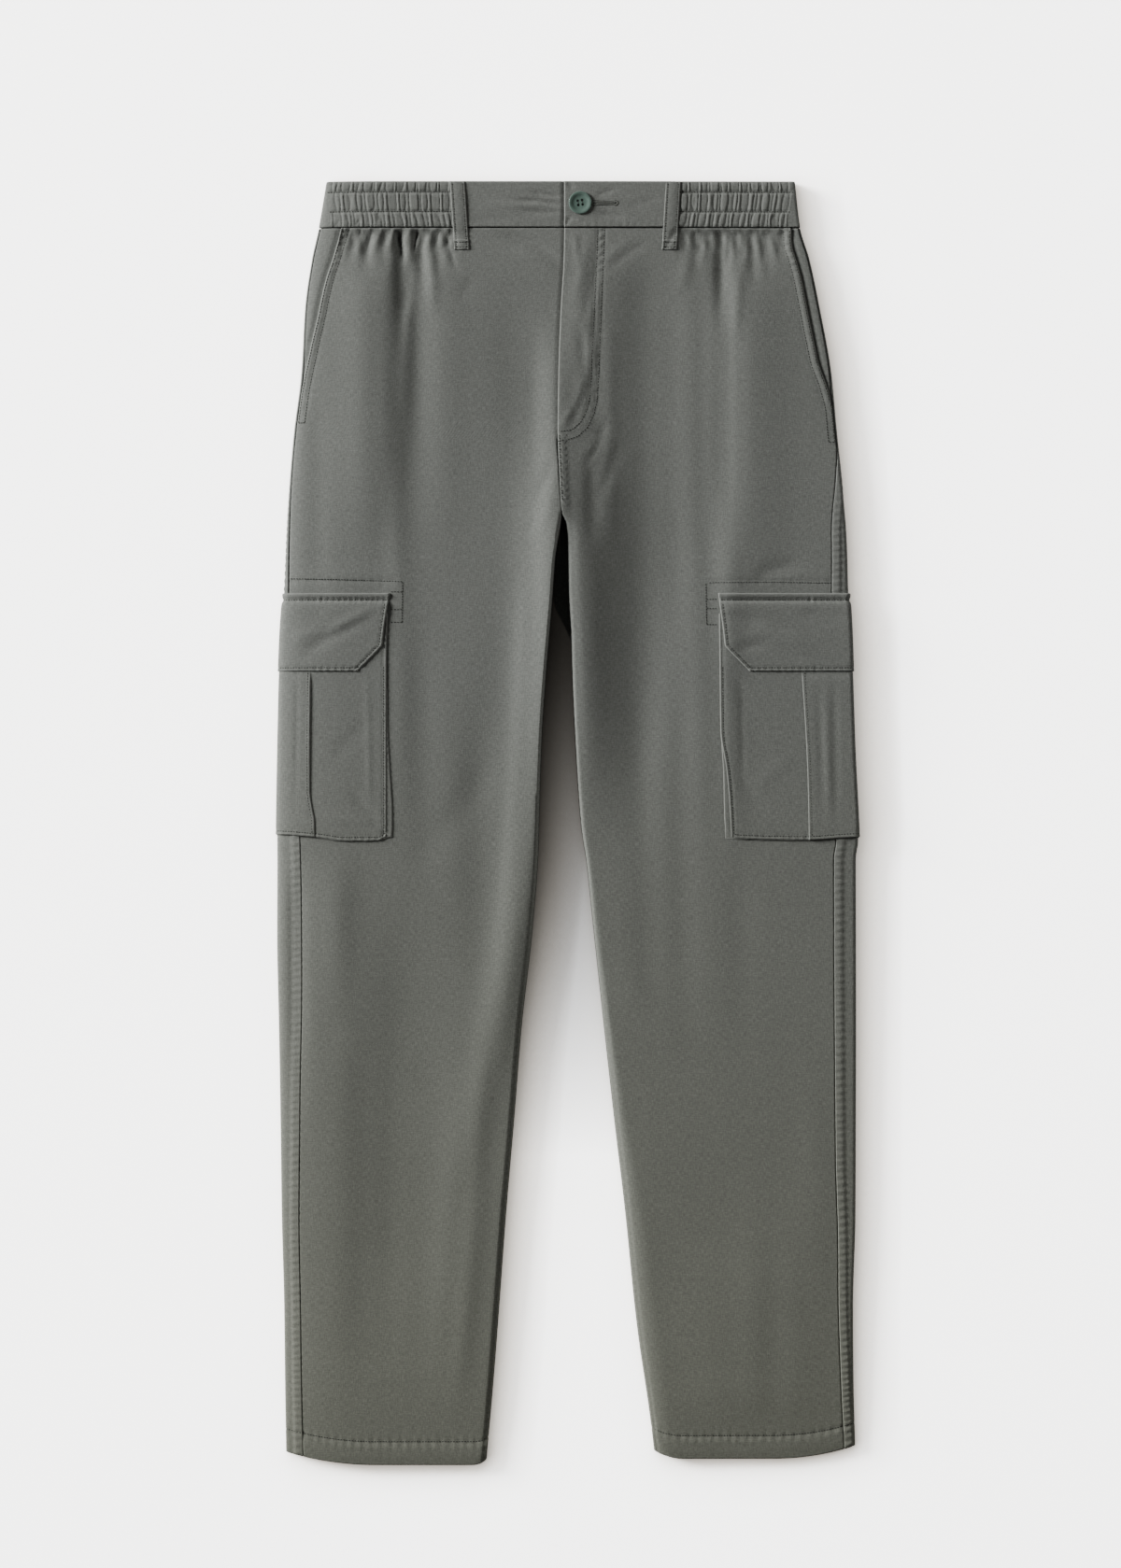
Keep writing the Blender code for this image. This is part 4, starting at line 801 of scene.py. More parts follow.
def close_steps(start, end, count, fine=(0.0, 0.3, 0.7, 1.2, 1.9, 2.8, 4.0)):
    """Columns from start to end that are close together at both edges. start and end may be arrays."""
    start = np.asarray(start, float)[..., None]
    end = np.asarray(end, float)[..., None]
    way = np.sign(end - start)
    fine = np.array(fine)
    middle = mix(start + way * fine[-1], end - way * fine[-1], np.linspace(0.0, 1.0, count)[1:-1])
    return np.concatenate([start + way * fine, middle, end - way * fine[::-1]], axis=-1)


print("steps from 0 to 20:", np.round(close_steps(0.0, 20.0, 5), 1))

# %% [markdown]
# ## The cloth
# The cloth is a washed cotton twill. Close to, its diagonal ribs catch the light; from a step away one sees
# only a fine grain, a faint mottling from washing, and paler edges where the folds have rubbed. The weave
# and the wash are node groups, because the thread and the cloth both use them.

# %% Node groups for weave and wash
YARN_SCALE = 1200.0              # noise scale of the uneven yarn, in 1/m
MOTTLE_BROAD = 9.0
MOTTLE_SMALL = 85.0


def new_group(name, inputs, outputs):
    """A node group with its sockets, its input node's outputs and its output node."""
    group = bpy.data.node_groups.new(name, "ShaderNodeTree")
    for way, sockets in (("INPUT", inputs), ("OUTPUT", outputs)):
        for socket_name, kind in sockets.items():
            group.interface.new_socket(socket_name, in_out=way, socket_type="NodeSocket" + kind)
    return group, group.nodes.new("NodeGroupInput").outputs, group.nodes.new("NodeGroupOutput")


def noise(tree, vector, scale, detail=2.0, stretch=(1.0, 1.0, 1.0)):
    mapping = add_node(tree, "Mapping", {"Vector": vector, "Scale": stretch})
    inputs = {"Vector": mapping.outputs["Vector"], "Scale": scale, "Detail": detail}
    return add_node(tree, "TexNoise", inputs).outputs["Fac"]


def twill_group():
    """Ribs of a twill as a height, and the uneven yarn as a shade round 0."""
    inputs = {"Vector": "Vector", "Ribs": "Float"}
    group, given, result = new_group("twill weave", inputs, {"Height": "Float", "Shade": "Float"})
    split = add_node(group, "SeparateXYZ", {"Vector": given["Vector"]})
    slanted = math_node(group, "MULTIPLY", split.outputs["Y"], 0.8)
    slanted = math_node(group, "ADD", split.outputs["X"], slanted)
    rib = math_node(group, "SINE", math_node(group, "MULTIPLY", slanted, given["Ribs"]))
    warp = noise(group, given["Vector"], YARN_SCALE, 2.0, (1.0, 0.22, 1.0))
    weft = noise(group, given["Vector"], YARN_SCALE, 2.0, (0.22, 1.0, 1.0))
    yarn = math_node(group, "SUBTRACT", math_node(group, "ADD", warp, weft), 1.0)
    ribs = math_node(group, "MULTIPLY", rib, 0.35)
    height = math_node(group, "ADD", ribs, math_node(group, "MULTIPLY", yarn, 1.6))
    feed(group, result, {"Height": height, "Shade": yarn})
    return group


def wash_group():
    """Broad and small mottling from washing, as a shade round 0."""
    group, given, result = new_group("wash mottling", {"Vector": "Vector"}, {"Shade": "Float"})
    broad = math_node(group, "MULTIPLY", noise(group, given["Vector"], MOTTLE_BROAD, 3.0), 1.2)
    both_sizes = math_node(group, "ADD", broad, noise(group, given["Vector"], MOTTLE_SMALL, 4.0))
    feed(group, result, {"Shade": math_node(group, "SUBTRACT", both_sizes, 1.1)})
    return group


WEAVE = twill_group()
WASH = wash_group()
print("node groups:", WEAVE.name, "and", WASH.name)

# %% [markdown]
# Each cloth material mixes three colours: the twill itself, a paler one where the cloth is worn, and a
# deeper one in the wash's hollows. The fuzz of cotton is the shader's own sheen. Painted light then makes
# the cloth darker and yellower towards the hems.

# %% The cloth material
TWILL = (0.158, 0.1665, 0.157)
PALE_TWILL = (0.235, 0.245, 0.233)
DEEP_TWILL = (0.098, 0.105, 0.097)
PAINTED_HEM_LIGHT = (0.975, 0.965, 0.86)     # painted light: the cloth is darker and yellower towards the hems
PAINTED_HEM_LIGHT_ALONG = (0.12, -0.52)       # from the hips to the hems, in metres
RIB_PITCH = 0.0011               # from rib to rib of the twill, in metres


def scaled(colour, tone):
    return (*(part * tone for part in colour), 1.0)


def colour_ramp(tree, share, colours):
    """A ramp through three colours, with the middle one at 0.5."""
    node = add_node(tree, "ValToRGB", {"Fac": share})
    node.color_ramp.elements[0].color = colours[0]
    node.color_ramp.elements[1].color = colours[2]
    node.color_ramp.elements.new(0.5).color = colours[1]
    return node.outputs["Color"]


def down_the_leg(tree):
    """0 at the hips and 1 at the hems."""
    place = add_node(tree, "TexCoord").outputs["Object"]
    split = add_node(tree, "SeparateXYZ", {"Vector": place})
    return map_range(tree, split.outputs["Y"], *PAINTED_HEM_LIGHT_ALONG)


def cloth_material(name, tone=1.0):
    material, tree, shader = new_material(name)
    place = add_node(tree, "UVMap").outputs["UV"]
    weave = add_node(tree, "Group", {"Vector": place, "Ribs": 2 * math.pi / RIB_PITCH}, node_tree=WEAVE)
    wash = add_node(tree, "Group", {"Vector": place}, node_tree=WASH)
    worn = add_node(tree, "Attribute", attribute_name="worn")
    grain = math_node(tree, "MULTIPLY", weave.outputs["Shade"], 0.9)
    shade = math_node(tree, "ADD", grain, math_node(tree, "MULTIPLY", wash.outputs["Shade"], 0.12))
    tones = [scaled(colour, tone) for colour in (DEEP_TWILL, TWILL, PALE_TWILL)]
    base = colour_ramp(tree, math_node(tree, "ADD", shade, 0.5), tones)
    rubbed = mix_colours(tree, worn.outputs["Fac"], base, tones[2])
    # painted light: darker and yellower towards the hems
    painted_hem_light_colour = mix_colours(tree, down_the_leg(tree), rubbed, scaled(PAINTED_HEM_LIGHT, 1.0), "MULTIPLY")
    inputs = {"Height": weave.outputs["Height"], "Strength": 0.35, "Distance": 0.00022}
    bump = add_node(tree, "Bump", inputs)
    feed(tree, shader, {
        "Base Color": painted_hem_light_colour, "Normal": bump.outputs["Normal"], "Roughness": 0.93,
        "Specular IOR Level": 0.12, "Sheen Weight": 0.06, "Sheen Roughness": 0.6,
    })
    return material


CLOTH_MATERIAL = cloth_material("cotton twill")
print("material:", CLOTH_MATERIAL.name)

# %% [markdown]
# ## Stitching
# Rows of stitches are what tells sewn cloth from moulded cloth. One stitch is a short spindle of thread. It
# is made once from a small sphere and copied along each row, a needle's step apart. Every piece of the
# garment gets its own rows, lying in the shallow groove that the tight thread pulls. The thread is painted
# far darker than the cloth, as painted shade for that groove and the needle holes.

# %% The thread, and one stitch
STITCH_PITCH = 2.3
STITCH = (1.8, 0.85, 0.5)        # length, width and height
THREAD_PROUD = 0.06              # how far the middle of a thread stands out of the cloth
# painted shade: the thread is far darker than the cloth, for the shade of its groove and needle holes
THREAD_WITH_PAINTED_SHADE = (0.036, 0.039, 0.034)
SATIN = (0.118, 0.125, 0.114)


def thread_material(name, colour):
    material, tree, shader = new_material(name)
    place = add_node(tree, "TexCoord").outputs["Object"]
    wash = add_node(tree, "Group", {"Vector": place}, node_tree=WASH)
    share = math_node(tree, "ADD", wash.outputs["Shade"], 0.5)
    colours = colour_ramp(tree, share, [scaled(colour, tone) for tone in (0.6, 1.0, 1.5)])
    feed(tree, shader, {"Base Color": colours, "Roughness": 0.8, "Specular IOR Level": 0.2})
    return material


def stitch_template():
    """Vertices of one stitch, its length along X, and its faces."""
    bpy.ops.object.select_all(action="DESELECT")
    bpy.ops.mesh.primitive_uv_sphere_add(segments=6, ring_count=4, radius=0.5)
    ball = bpy.context.active_object
    corners = np.array([(v.co.z, v.co.x, v.co.y) for v in ball.data.vertices])
    faces = [tuple(face.vertices) for face in ball.data.polygons]
    bpy.data.objects.remove(ball, do_unlink=True)
    return corners, faces


# painted shade: dark thread for the stitches' grooves
PAINTED_SHADE_THREAD_MATERIAL = thread_material("sewing thread with painted shade", THREAD_WITH_PAINTED_SHADE)
SATIN_MATERIAL = thread_material("buttonhole thread", SATIN)
STITCH_CORNERS, STITCH_FACES = stitch_template()
print("one stitch has corners:", len(STITCH_CORNERS), " and faces:", len(STITCH_FACES))

# %% Sewing along a row
def frames_along(places, outward, pitch):
    """Evenly spaced middles on a path, each with its directions along, beside and out."""
    steps = np.linalg.norm(np.diff(places, axis=0), axis=1)
    travelled = np.concatenate([[0.0], np.cumsum(steps)])
    count = max(1, int(round(travelled[-1] / pitch)))
    at = (np.arange(count) + 0.5) * travelled[-1] / count

    def look_up(values, where):
        return np.stack([np.interp(where, travelled, values[:, axis]) for axis in range(3)], axis=1)

    along = look_up(places, at + 0.3) - look_up(places, at - 0.3)
    along /= np.linalg.norm(along, axis=1, keepdims=True)
    out = look_up(outward, at)
    beside = np.cross(out, along)
    beside /= np.linalg.norm(beside, axis=1, keepdims=True)
    return look_up(places, at), along, beside, np.cross(along, beside)


def sew(name, rows, size=STITCH, pitch=STITCH_PITCH, material=PAINTED_SHADE_THREAD_MATERIAL):
    """One mesh with a stitch at every step of each row. A row is (places, outward) in mm."""
    corners = []
    for places, outward in rows:
        middle, along, beside, out = frames_along(places, outward, pitch)
        for axis, direction in enumerate((along, beside, out)):
            shift = STITCH_CORNERS[None, :, axis:axis + 1] * size[axis] * direction[:, None, :]
            block = shift if axis == 0 else block + shift
        corners.append((middle[:, None, :] + block).reshape(-1, 3))
    corners = np.concatenate(corners) * MM
    count = len(corners) // len(STITCH_CORNERS)
    faces = [tuple(v + k * len(STITCH_CORNERS) for v in face) for k in range(count) for face in STITCH_FACES]
    mesh = bpy.data.meshes.new(name)
    mesh.from_pydata(corners.tolist(), [], faces)
    mesh.shade_smooth()
    mesh.materials.append(material)
    piece = bpy.data.objects.new(name, mesh)
    bpy.context.scene.collection.objects.link(piece)
    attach(piece, "root")
    print(name, "stitches:", count)
    return piece


def row_on(leg, out, down, u):
    """A row of places just over a piece's face, from its own offset function."""
    down, u = (np.array(part, float) for part in np.broadcast_arrays(down, u))
    return on_leg(leg, down, u, out(leg, down, u) + THREAD_PROUD)


def beneath(inset):
    """The distance u of a place underneath from its inset. It turns u back into the inset as well."""
    return -(ROLL - EDGE_ROLL) - inset


def roll_columns(count):
    """Columns round the lower half of the folded outer edge, the same on each of count rows."""
    return np.broadcast_to(-ROLL * np.linspace(0.0, 1.0, 7)[1:], (count, 6))


# %% [markdown]
# ## The fronts
# Each front runs from the slanted pocket edge and the side seam to the centre. The left one laps over the
# right one at the fly, so the right one sinks a little there. Along every sewn edge the cloth rounds off,
# dips under the stitching and puckers.

# %% Where the fronts' rows of stitches run
SLANT_ROWS = (1.3, 6.3)          # from the slanted edge
SLANT_TACK = {"right": 198.0, "left": 214.0}
INSEAM_ROLL = 2.6                # how far in from the inner edge the inseam shows near the hem
CROTCH_ROWS = (1.3, 7.2)         # from the centre edge, below the fly
PATCH_ROW = 327.5                # down of the row above a cargo flap
FLY_CURL = (-6.0, 184.0)         # across and down of the middle of the fly's curve
FLY_CURL_RADIUS = 24.0           # of the puckers between the fly's rows

# across and down of the fly's two rows, which curve to the centre like a J
FLY_INNER = (
    (23.7, 39.5), (22.4, 72), (20.9, 102.7), (18.6, 147.9), (17.5, 175.5), (14.6, 188), (9.6, 198),
    (2, 204.4), (-9.4, 206),
)
FLY_OUTER = (
    (29.1, 39.5), (27.9, 72), (26.5, 102.7), (24.8, 147.9), (23.1, 179.3), (20.4, 191.5), (15.2, 202),
    (7.4, 209.6), (-1, 212.4), (-10.2, 213.8),
)
# across and down of the rows round the top of each cargo pocket, from the reinforcing patch behind it
PATCH_ROWS = {
    "right": (
        ((-228, 325.6), (-190, 326.4), (-136, 328.2)), ((-136, 328.2), (-136.4, 361.7)),
        ((-146, 336.5), (-136, 336.5)), ((-146, 351), (-136, 351)),
        ((-146, 361.4), (-136, 361.4)),
    ),
    "left": (
        ((114.2, 329), (170, 328.6), (224, 329.4)), ((111.9, 329.5), (112.4, 363.3)),
        ((112, 342.6), (121, 342.6)), ((112, 350.2), (121, 350.2)),
        ((112, 363.3), (121, 363.3)),
    ),
}


def fly_line(points):
    """The across of a fly row as a curve of the distance down, down to where it turns to the centre."""
    steep = [(down, across) for across, down in points if across > 8.0]
    return Curve(steep)


FLY_INNER_LINE = fly_line(FLY_INNER)
FLY_OUTER_LINE = fly_line(FLY_OUTER)
print("the fly's rows lie apart by", round(float(FLY_OUTER_LINE(100.0) - FLY_INNER_LINE(100.0)), 1), "mm")

# %% [markdown]
# Cloth that is sewn never lies quite flat. The tight thread sinks into a groove, and the cloth beside it,
# which was eased in under the needle, stands up in puckers. Each offset below is such a relief, at one
# place.

# %% Offsets of a front
def fly_lap(leg, down, inset):
    """Offset of the laps at the centre front."""
    from_centre = leg.width(down) - inset
    if leg.is_left:
        lapped = fall(FLY_UNDERLAP + 2.0, FLY_UNDERLAP + 20.0, from_centre)
        return 0.15 * lapped * fall(FLY_END, FLY_END + 24.0, down)
    under_it = smooth((1.8 - from_centre) / 1.7)
    return -0.65 * under_it * fall(FLY_END + 10.0, FLY_END + 28.0, down)


def seam_end(leg, down):
    """Distance of a front's inner end from the centre front, below 0 where it runs under the other."""
    if leg.is_left:
        return np.zeros_like(down)
    lapped = mix(-FLY_UNDERLAP, SEAM, ramp(FLY_END - 8.0, FLY_END + 10.0, down))
    return np.where(down < 217.0, lapped, np.where(down < CROTCH, SEAM, 0.0))


def front_out(leg, down, inset):
    """Offset of a front's outer face from the plain section."""
    from_edge = inset - leg.front_edge(down)
    from_inner = leg.width(down) - inset - seam_end(leg, down)
    slanted = fall(176.0, 196.0, down)
    out = 0.5 * (1.0 - smooth(from_edge / 10.0)) * fall(150.0, 186.0, down)
    out = out + fly_lap(leg, down, inset)
    out = out + rounded(from_edge, 0.8) + rounded(from_inner, 0.8) + rounded(down - PANEL_TOP, 0.9)
    out = out - slanted * 0.45 * trough(from_edge - SLANT_ROWS[1], 1.1)
    out = out + slanted * (0.2 + 0.3 * ripple(down, 5.4, leg.sign)) * trough(from_edge - 3.6, 2.4)
    out = out + (1.0 - slanted) * 0.12 * ripple(down, 6.6, 1.0) * trough(from_edge - 1.5, 2.4)
    out = out - 0.55 * trough(from_inner - INSEAM_ROLL, 0.55) * ramp(560.0, 720.0, down)
    out = out + 0.12 * ripple(down, 7.3, 2.0) * trough(from_inner - 1.5, 2.5) * ramp(300.0, 420.0, down)
    if leg.is_left:
        out = out + fly_relief(leg, down, inset)
    out = out + hem_relief(leg, down, inset) + elastic_puckers(leg, down, inset)
    return out + patch_relief(leg, down, inset)


# %% Relief at the fly, the hem, the elastic and the pocket's patch
def fly_relief(leg, down, inset):
    """Grooves under the fly's stitches with puckers between them, and the crotch seam's band."""
    across = leg.across(down, inset)
    inner, outer = FLY_INNER_LINE(down), FLY_OUTER_LINE(down)
    shown = fall(186.0, 202.0, down)
    relief = -0.40 * (trough(across - inner, 1.1) + 0.8 * trough(across - outer, 1.1)) * shown
    between = trough(across - (inner + outer) / 2, 2.3) * shown
    relief = relief + 0.32 * ripple(down + across * 0.8, 6.4, 0.4) * between
    curl = np.hypot(across - FLY_CURL[0], down - FLY_CURL[1])
    turn = smooth((down - 186.0) / 8.0) * smooth((across + 12.0) / 4.0)
    turn = turn * fall(205.0, 216.0, down + 0.3 * across)
    on_curl = trough(curl - FLY_CURL_RADIUS, 4.0)
    relief = relief + 0.2 * ripple(across * 1.2 - down, 6.0, 0.2) * on_curl * turn
    from_centre = leg.width(down) - inset
    below = ramp(206.0, 212.0, down) * fall(262.0, 274.0, down)
    relief = relief + below * (0.3 * trough(from_centre - 4.0, 3.2) - 0.5 * trough(from_centre - 7.4, 1.0))
    return relief + below * 0.5 * ripple(down - from_centre * 1.1, 5.4, 0.9) * trough(from_centre - 3.8, 2.6)


def hem_relief(leg, down, inset):
    """The turned-up hem: a groove under its stitches, and short puckers that die out above and below."""
    above = HEM_ROW - down
    puckers = 0.13 * ripple(inset, 7.4, leg.sign * 1.3) * trough(above + 1.5, 5.0)
    puckers = puckers + 0.07 * ripple(inset + above * 0.35, 4.3, 2.1) * trough(above, 3.0)
    ridge = 0.35 * smooth((above + 2.0) / -3.0) * smooth((HEM_DEPTH + above) / 8.0)
    return puckers + ridge - 0.35 * trough(above, 1.1) + rounded(HEM_DEPTH + above, 1.0)


def elastic_puckers(leg, down, inset):
    """Small puckers just under the waistband, strong under the elastic and faint under the plain part."""
    below = down - PANEL_TOP
    gathered = ramp(-6.0, 4.0, leg.inset(down, leg.loop) - inset)
    strength = 1.0 if not leg.is_left else 0.55
    size = mix(0.06, 0.32 * strength, gathered)
    fine = ripple(inset + 0.12 * below, 4.6, 0.7 + leg.sign) * trough(below - 2.0, 6.0)
    broad = ripple(inset + 0.2 * below, 10.5, 2.2) * trough(below - 6.0, 12.0) * gathered
    return size * fine + 0.4 * strength * broad


def patch_relief(leg, down, inset):
    """Puckers along the row of stitches above a cargo flap."""
    above = down - PATCH_ROW
    beside = ramp(0.0, 8.0, leg.pocket.front_top + 10.0 - inset)
    return beside * (0.11 * ripple(inset, 6.8, leg.sign) * trough(above, 4.0) - 0.35 * trough(above, 1.2))


def front_worn(leg, down, inset):
    from_edge = inset - leg.front_edge(down)
    from_inner = leg.width(down) - inset
    slanted = fall(172.0, 190.0, down)
    worn = 0.6 * trough(from_edge, 0.7) * slanted + 0.2 * trough(from_edge, 1.0)
    worn = worn + 0.6 * trough(from_inner, 0.6) * leg.is_left * fall(204.0, 214.0, down)
    return worn + 0.3 * trough(HEM_ROW - down - 1.6, 1.2) + 0.4 * trough(LENGTH - down, 1.0)


print("groove at the left hem in mm:", round(float(hem_relief(LEFT, HEM_ROW, 100.0)), 2))

# %% The two fronts
FRONT_ROWS = np.concatenate([
    PANEL_TOP + np.array([0.0, 0.4, 0.9, 1.5]), np.arange(41.6, 76.0, 1.4), np.arange(77.0, 205.0, 2.4),
    np.arange(206.0, 276.0, 1.35), np.arange(277.7, 322.0, 3.4), [324.4, 326.2, 327.5, 328.8, 330.6],
    np.arange(334.0, 1010.0, 3.4), np.arange(1010.5, 1048.0, 1.45),
    LENGTH - np.array([2.6, 1.6, 0.9, 0.4, 0.0]),
])[:, None]
FRONT_COLUMNS = 100


def make_front(leg):
    down = FRONT_ROWS
    end = leg.width(down[:, 0]) - seam_end(leg, down[:, 0])
    inset = close_steps(leg.front_edge(down[:, 0]), end, FRONT_COLUMNS)
    placed = on_leg(leg, down, inset, front_out(leg, down, inset))
    return leg_piece(leg, "front_panel", "front", placed, front_worn(leg, down, inset))


def points_row(leg, points, step=2.0):
    """A row through points given as across and down."""
    points = np.array(points, float)
    steps = np.concatenate([[0.0], np.cumsum(np.hypot(*np.diff(points, axis=0).T))])
    at = np.linspace(0.0, steps[-1], max(2, int(steps[-1] / step)))
    across, down = (np.interp(at, steps, points[:, axis]) for axis in (0, 1))
    return row_on(leg, front_out, down, leg.inset(down, across))


def front_stitches(leg):
    rows = []
    for offset in SLANT_ROWS:
        down = np.linspace(40.5, SLANT_TACK[leg.name], 90)
        rows.append(row_on(leg, front_out, down, leg.front_edge(down) + offset))
    tack = SLANT_TACK[leg.name]
    rows.append(row_on(leg, front_out, tack, leg.front_edge(tack) + np.linspace(1.0, 6.6, 4)))
    rows += [points_row(leg, points) for points in PATCH_ROWS[leg.name]]
    along_hem = np.linspace(leg.front_edge(HEM_ROW) + 0.8, leg.width(HEM_ROW) - 0.5, 80)
    rows.append(row_on(leg, front_out, HEM_ROW, along_hem))
    if leg.is_left:
        rows += [points_row(leg, points) for points in (FLY_INNER, FLY_OUTER)]
        down = np.linspace(208.0, 262.0, 30)
        rows += [row_on(leg, front_out, down, leg.width(down) - offset) for offset in CROTCH_ROWS]
    return sew("stitches_front_" + leg.name, rows)


fronts = both(make_front)
both(front_stitches)

# %% [markdown]
# ## The backs
# A back shows as a narrow strip beside the side seam, where the seam allowance underneath presses a ladder
# of small puckers through the cloth, and as the dark V between the legs. The rest lies on the floor. It is
# kept flat there, with only shallow hollows that rise away from the floor.

# %% The two backs
BACK_ROWS = np.concatenate([
    PANEL_TOP + np.array([0.0, 0.4, 0.9, 1.5]), np.arange(42.0, 1046.0, 1.75),
    LENGTH - np.array([4.4, 2.9, 1.8, 0.9, 0.4, 0.0]),
])[:, None]
ALLOWANCE = 7.0          # width of the seam allowance that presses through
BACK_HOLLOWS = rows_of(
    Crease,
    (-150, 60, -142, 180, 4, 0.8, 9), (-112, 56, -120, 150, 2, 0.7, 8), (-60, 62, -66, 190, 3, 0.7, 10),
    (52, 60, 60, 200, 3, 0.8, 9), (118, 58, 124, 160, 2, 0.7, 8), (160, 60, 152, 170, 3, 0.7, 8),
    (-30, 330, -110, 430, 8, 0.8, 14), (30, 330, 104, 440, 8, 0.8, 14), (-80, 560, -170, 640, 9, 0.7, 16),
    (70, 580, 190, 660, 9, 0.7, 16), (-110, 800, -210, 850, 6, 0.6, 14), (90, 820, 200, 880, 6, 0.6, 14),
)


# %% The columns and the offset of a back
def back_columns(leg, down):
    seam = leg.back_edge(down)
    over_edge = seam * (1.0 - np.linspace(0.0, 1.0, 15) ** 0.62)[None, :]
    over_edge = np.concatenate([seam, seam - 0.35, over_edge[:, 1:]], axis=1)
    over_edge = np.minimum.accumulate(over_edge, axis=1)
    width = leg.width(down) - 2 * EDGE_ROLL
    flat = -ROLL - width * np.linspace(0.0, 1.0, 30)[1:][None, :]
    turned = -ROLL - width - EDGE_ROLL * TURN_END * np.linspace(0.0, 1.0, 6)[1:][None, :]
    return np.concatenate([over_edge, roll_columns(len(down)), flat, turned], axis=1)


def back_out(leg, down, u):
    """The ridge of the seam allowance with its ladder of puckers, the hem, and the hollows underneath."""
    from_seam = leg.back_edge(down) - u
    shown = (u > 0.0) * ramp(216.0, 300.0, down)
    ridge = 0.55 * fall(ALLOWANCE - 1.5, ALLOWANCE + 1.0, from_seam)
    ladder = 0.42 * ripple(down, 6.0, leg.sign * 2.0) * trough(from_seam - ALLOWANCE * 0.6, 3.0)
    out = shown * (ridge + ladder) + (u > 0.0) * rounded(from_seam, 0.8) + rounded(down - PANEL_TOP, 0.9)
    inset = EDGE_ROLL - u - ROLL
    hollow = crease_height(BACK_HOLLOWS, leg.across(down, inset), down) * smooth((inset - 12.0) / 20.0)
    hollow = hollow * smooth((leg.width(down) - inset - 12.0) / 20.0)
    gathers = 0.5 * (1.0 + ripple(inset, 11.0, 1.0)) * fall(4.0, 34.0, down - PANEL_TOP)
    gathers = gathers * smooth((inset - 6.0) / 12.0) * smooth((leg.inset(down, leg.loop) - inset) / 8.0)
    out = out - (u < -ROLL) * (hollow + gathers)
    above = HEM_ROW - down
    out = out - 0.35 * trough(above, 1.1) + 0.08 * ripple(u, 7.0, 0.3) * trough(above, 4.0) * (u > -ROLL)
    return out + rounded(HEM_DEPTH + above, 1.0)


def back_worn(leg, down, u):
    from_seam = leg.back_edge(down) - u
    rungs = 0.5 + 0.5 * ripple(down, 6.0, leg.sign * 2.0)
    rungs = 0.3 * rungs * trough(from_seam - ALLOWANCE * 0.6, 3.0) * ramp(216.0, 300.0, down)
    return (u > 0.0) * (0.35 * trough(from_seam, 1.0) + rungs)


# %% Make the backs
def make_back(leg):
    down = BACK_ROWS
    u = back_columns(leg, down)
    placed = on_leg(leg, down, u, back_out(leg, down, u))
    return leg_piece(leg, "back_panel", "back", placed, back_worn(leg, down, u))


def back_stitches(leg):
    start = leg.seam(HEM_ROW) - 1.0
    end = -ROLL - (leg.width(HEM_ROW) - 2 * EDGE_ROLL)
    return sew("stitches_back_" + leg.name, [row_on(leg, back_out, HEM_ROW, np.linspace(start, end, 120))])


backs = both(make_back)
both(back_stitches)

# %% [markdown]
# ## Hip pocket facings
# Behind the slanted pocket edge lies a facing. It starts at the side seam, level with the back, and dives
# under the front's edge, which leaves the dark slit that shows a pocket is there.

# %% The facings
FACING_DEPTH = 0.8
FACING_UNDERLAP = 12.0
FACING_END = {"right": 180.0, "left": 190.0}


def make_facing(leg):
    last = FACING_END[leg.name]
    down = np.concatenate([PANEL_TOP + np.array([0.0, 0.4, 0.9]), np.arange(41.0, last + 0.1, 3.0)])[:, None]
    start = leg.seam(down[:, 0]) + SEAM / 2
    inset = close_steps(start, leg.front_edge(down[:, 0]) + FACING_UNDERLAP, 16, (0.0, 0.3, 0.7, 1.2))
    beside = smooth((inset - leg.slant(down) + 5.0) / 4.4)
    depth = FACING_DEPTH * np.maximum(beside, ramp(last - 42.0, last - 8.0, down))
    out = -depth + rounded(inset - start[:, None], 0.7) + rounded(down - PANEL_TOP, 0.9)
    return leg_piece(leg, "hip_facing", "pocket_facing", on_leg(leg, down, inset, out), np.zeros_like(inset))


facings = both(make_facing)

# %% [markdown]
# ## The waistband
# The front of the waistband is plain, the left half lapping over the right one under the button. The sides
# hold a wide elastic: the cloth round it is gathered, and two rows of stitches pinch the gathers, so that
# each band between the rows has its own little ridges, out of step with the next.

# %% Plain fronts and the back of the waistband
BAND_ROWS = np.concatenate([
    [0.0, 0.2, 0.5, 0.9, 1.5, 2.4], np.linspace(3.4, 34.6, 32), [35.6, 36.5, 37.1, 37.5, 37.8, BAND_DEPTH],
])[:, None]
BAND_CREASES = rows_of(
    Crease,
    (-5, 20, -46, 16, -1, -0.9, 2.2), (-6, 13, -34, 8, 0.5, -0.6, 2), (-8, 26, -40, 24, 1, -0.5, 2.2),
    (-10, 17, -70, 20, 1.5, 0.4, 3.4), (22, 12, 40, 7, 0.5, -0.4, 2.4), (24, 26, 46, 31, 0.5, -0.5, 2.6),
    (2, 29, -3, 37, 0, -0.5, 2), (4, 7, -2, 1, 0, -0.4, 2.2), (-46, 32, -78, 30, 0.5, -0.25, 3),
    (50, 20, 74, 16, 0.5, -0.25, 3),
)


def band_edges(down):
    """Rounding at the waistband's top fold and at its seam."""
    return rounded(down, 1.2) + rounded(BAND_DEPTH - down, 0.9)


def band_lap_end(leg, down):
    return leg.width(down) + (0.0 if leg.is_left else BAND_UNDERLAP)


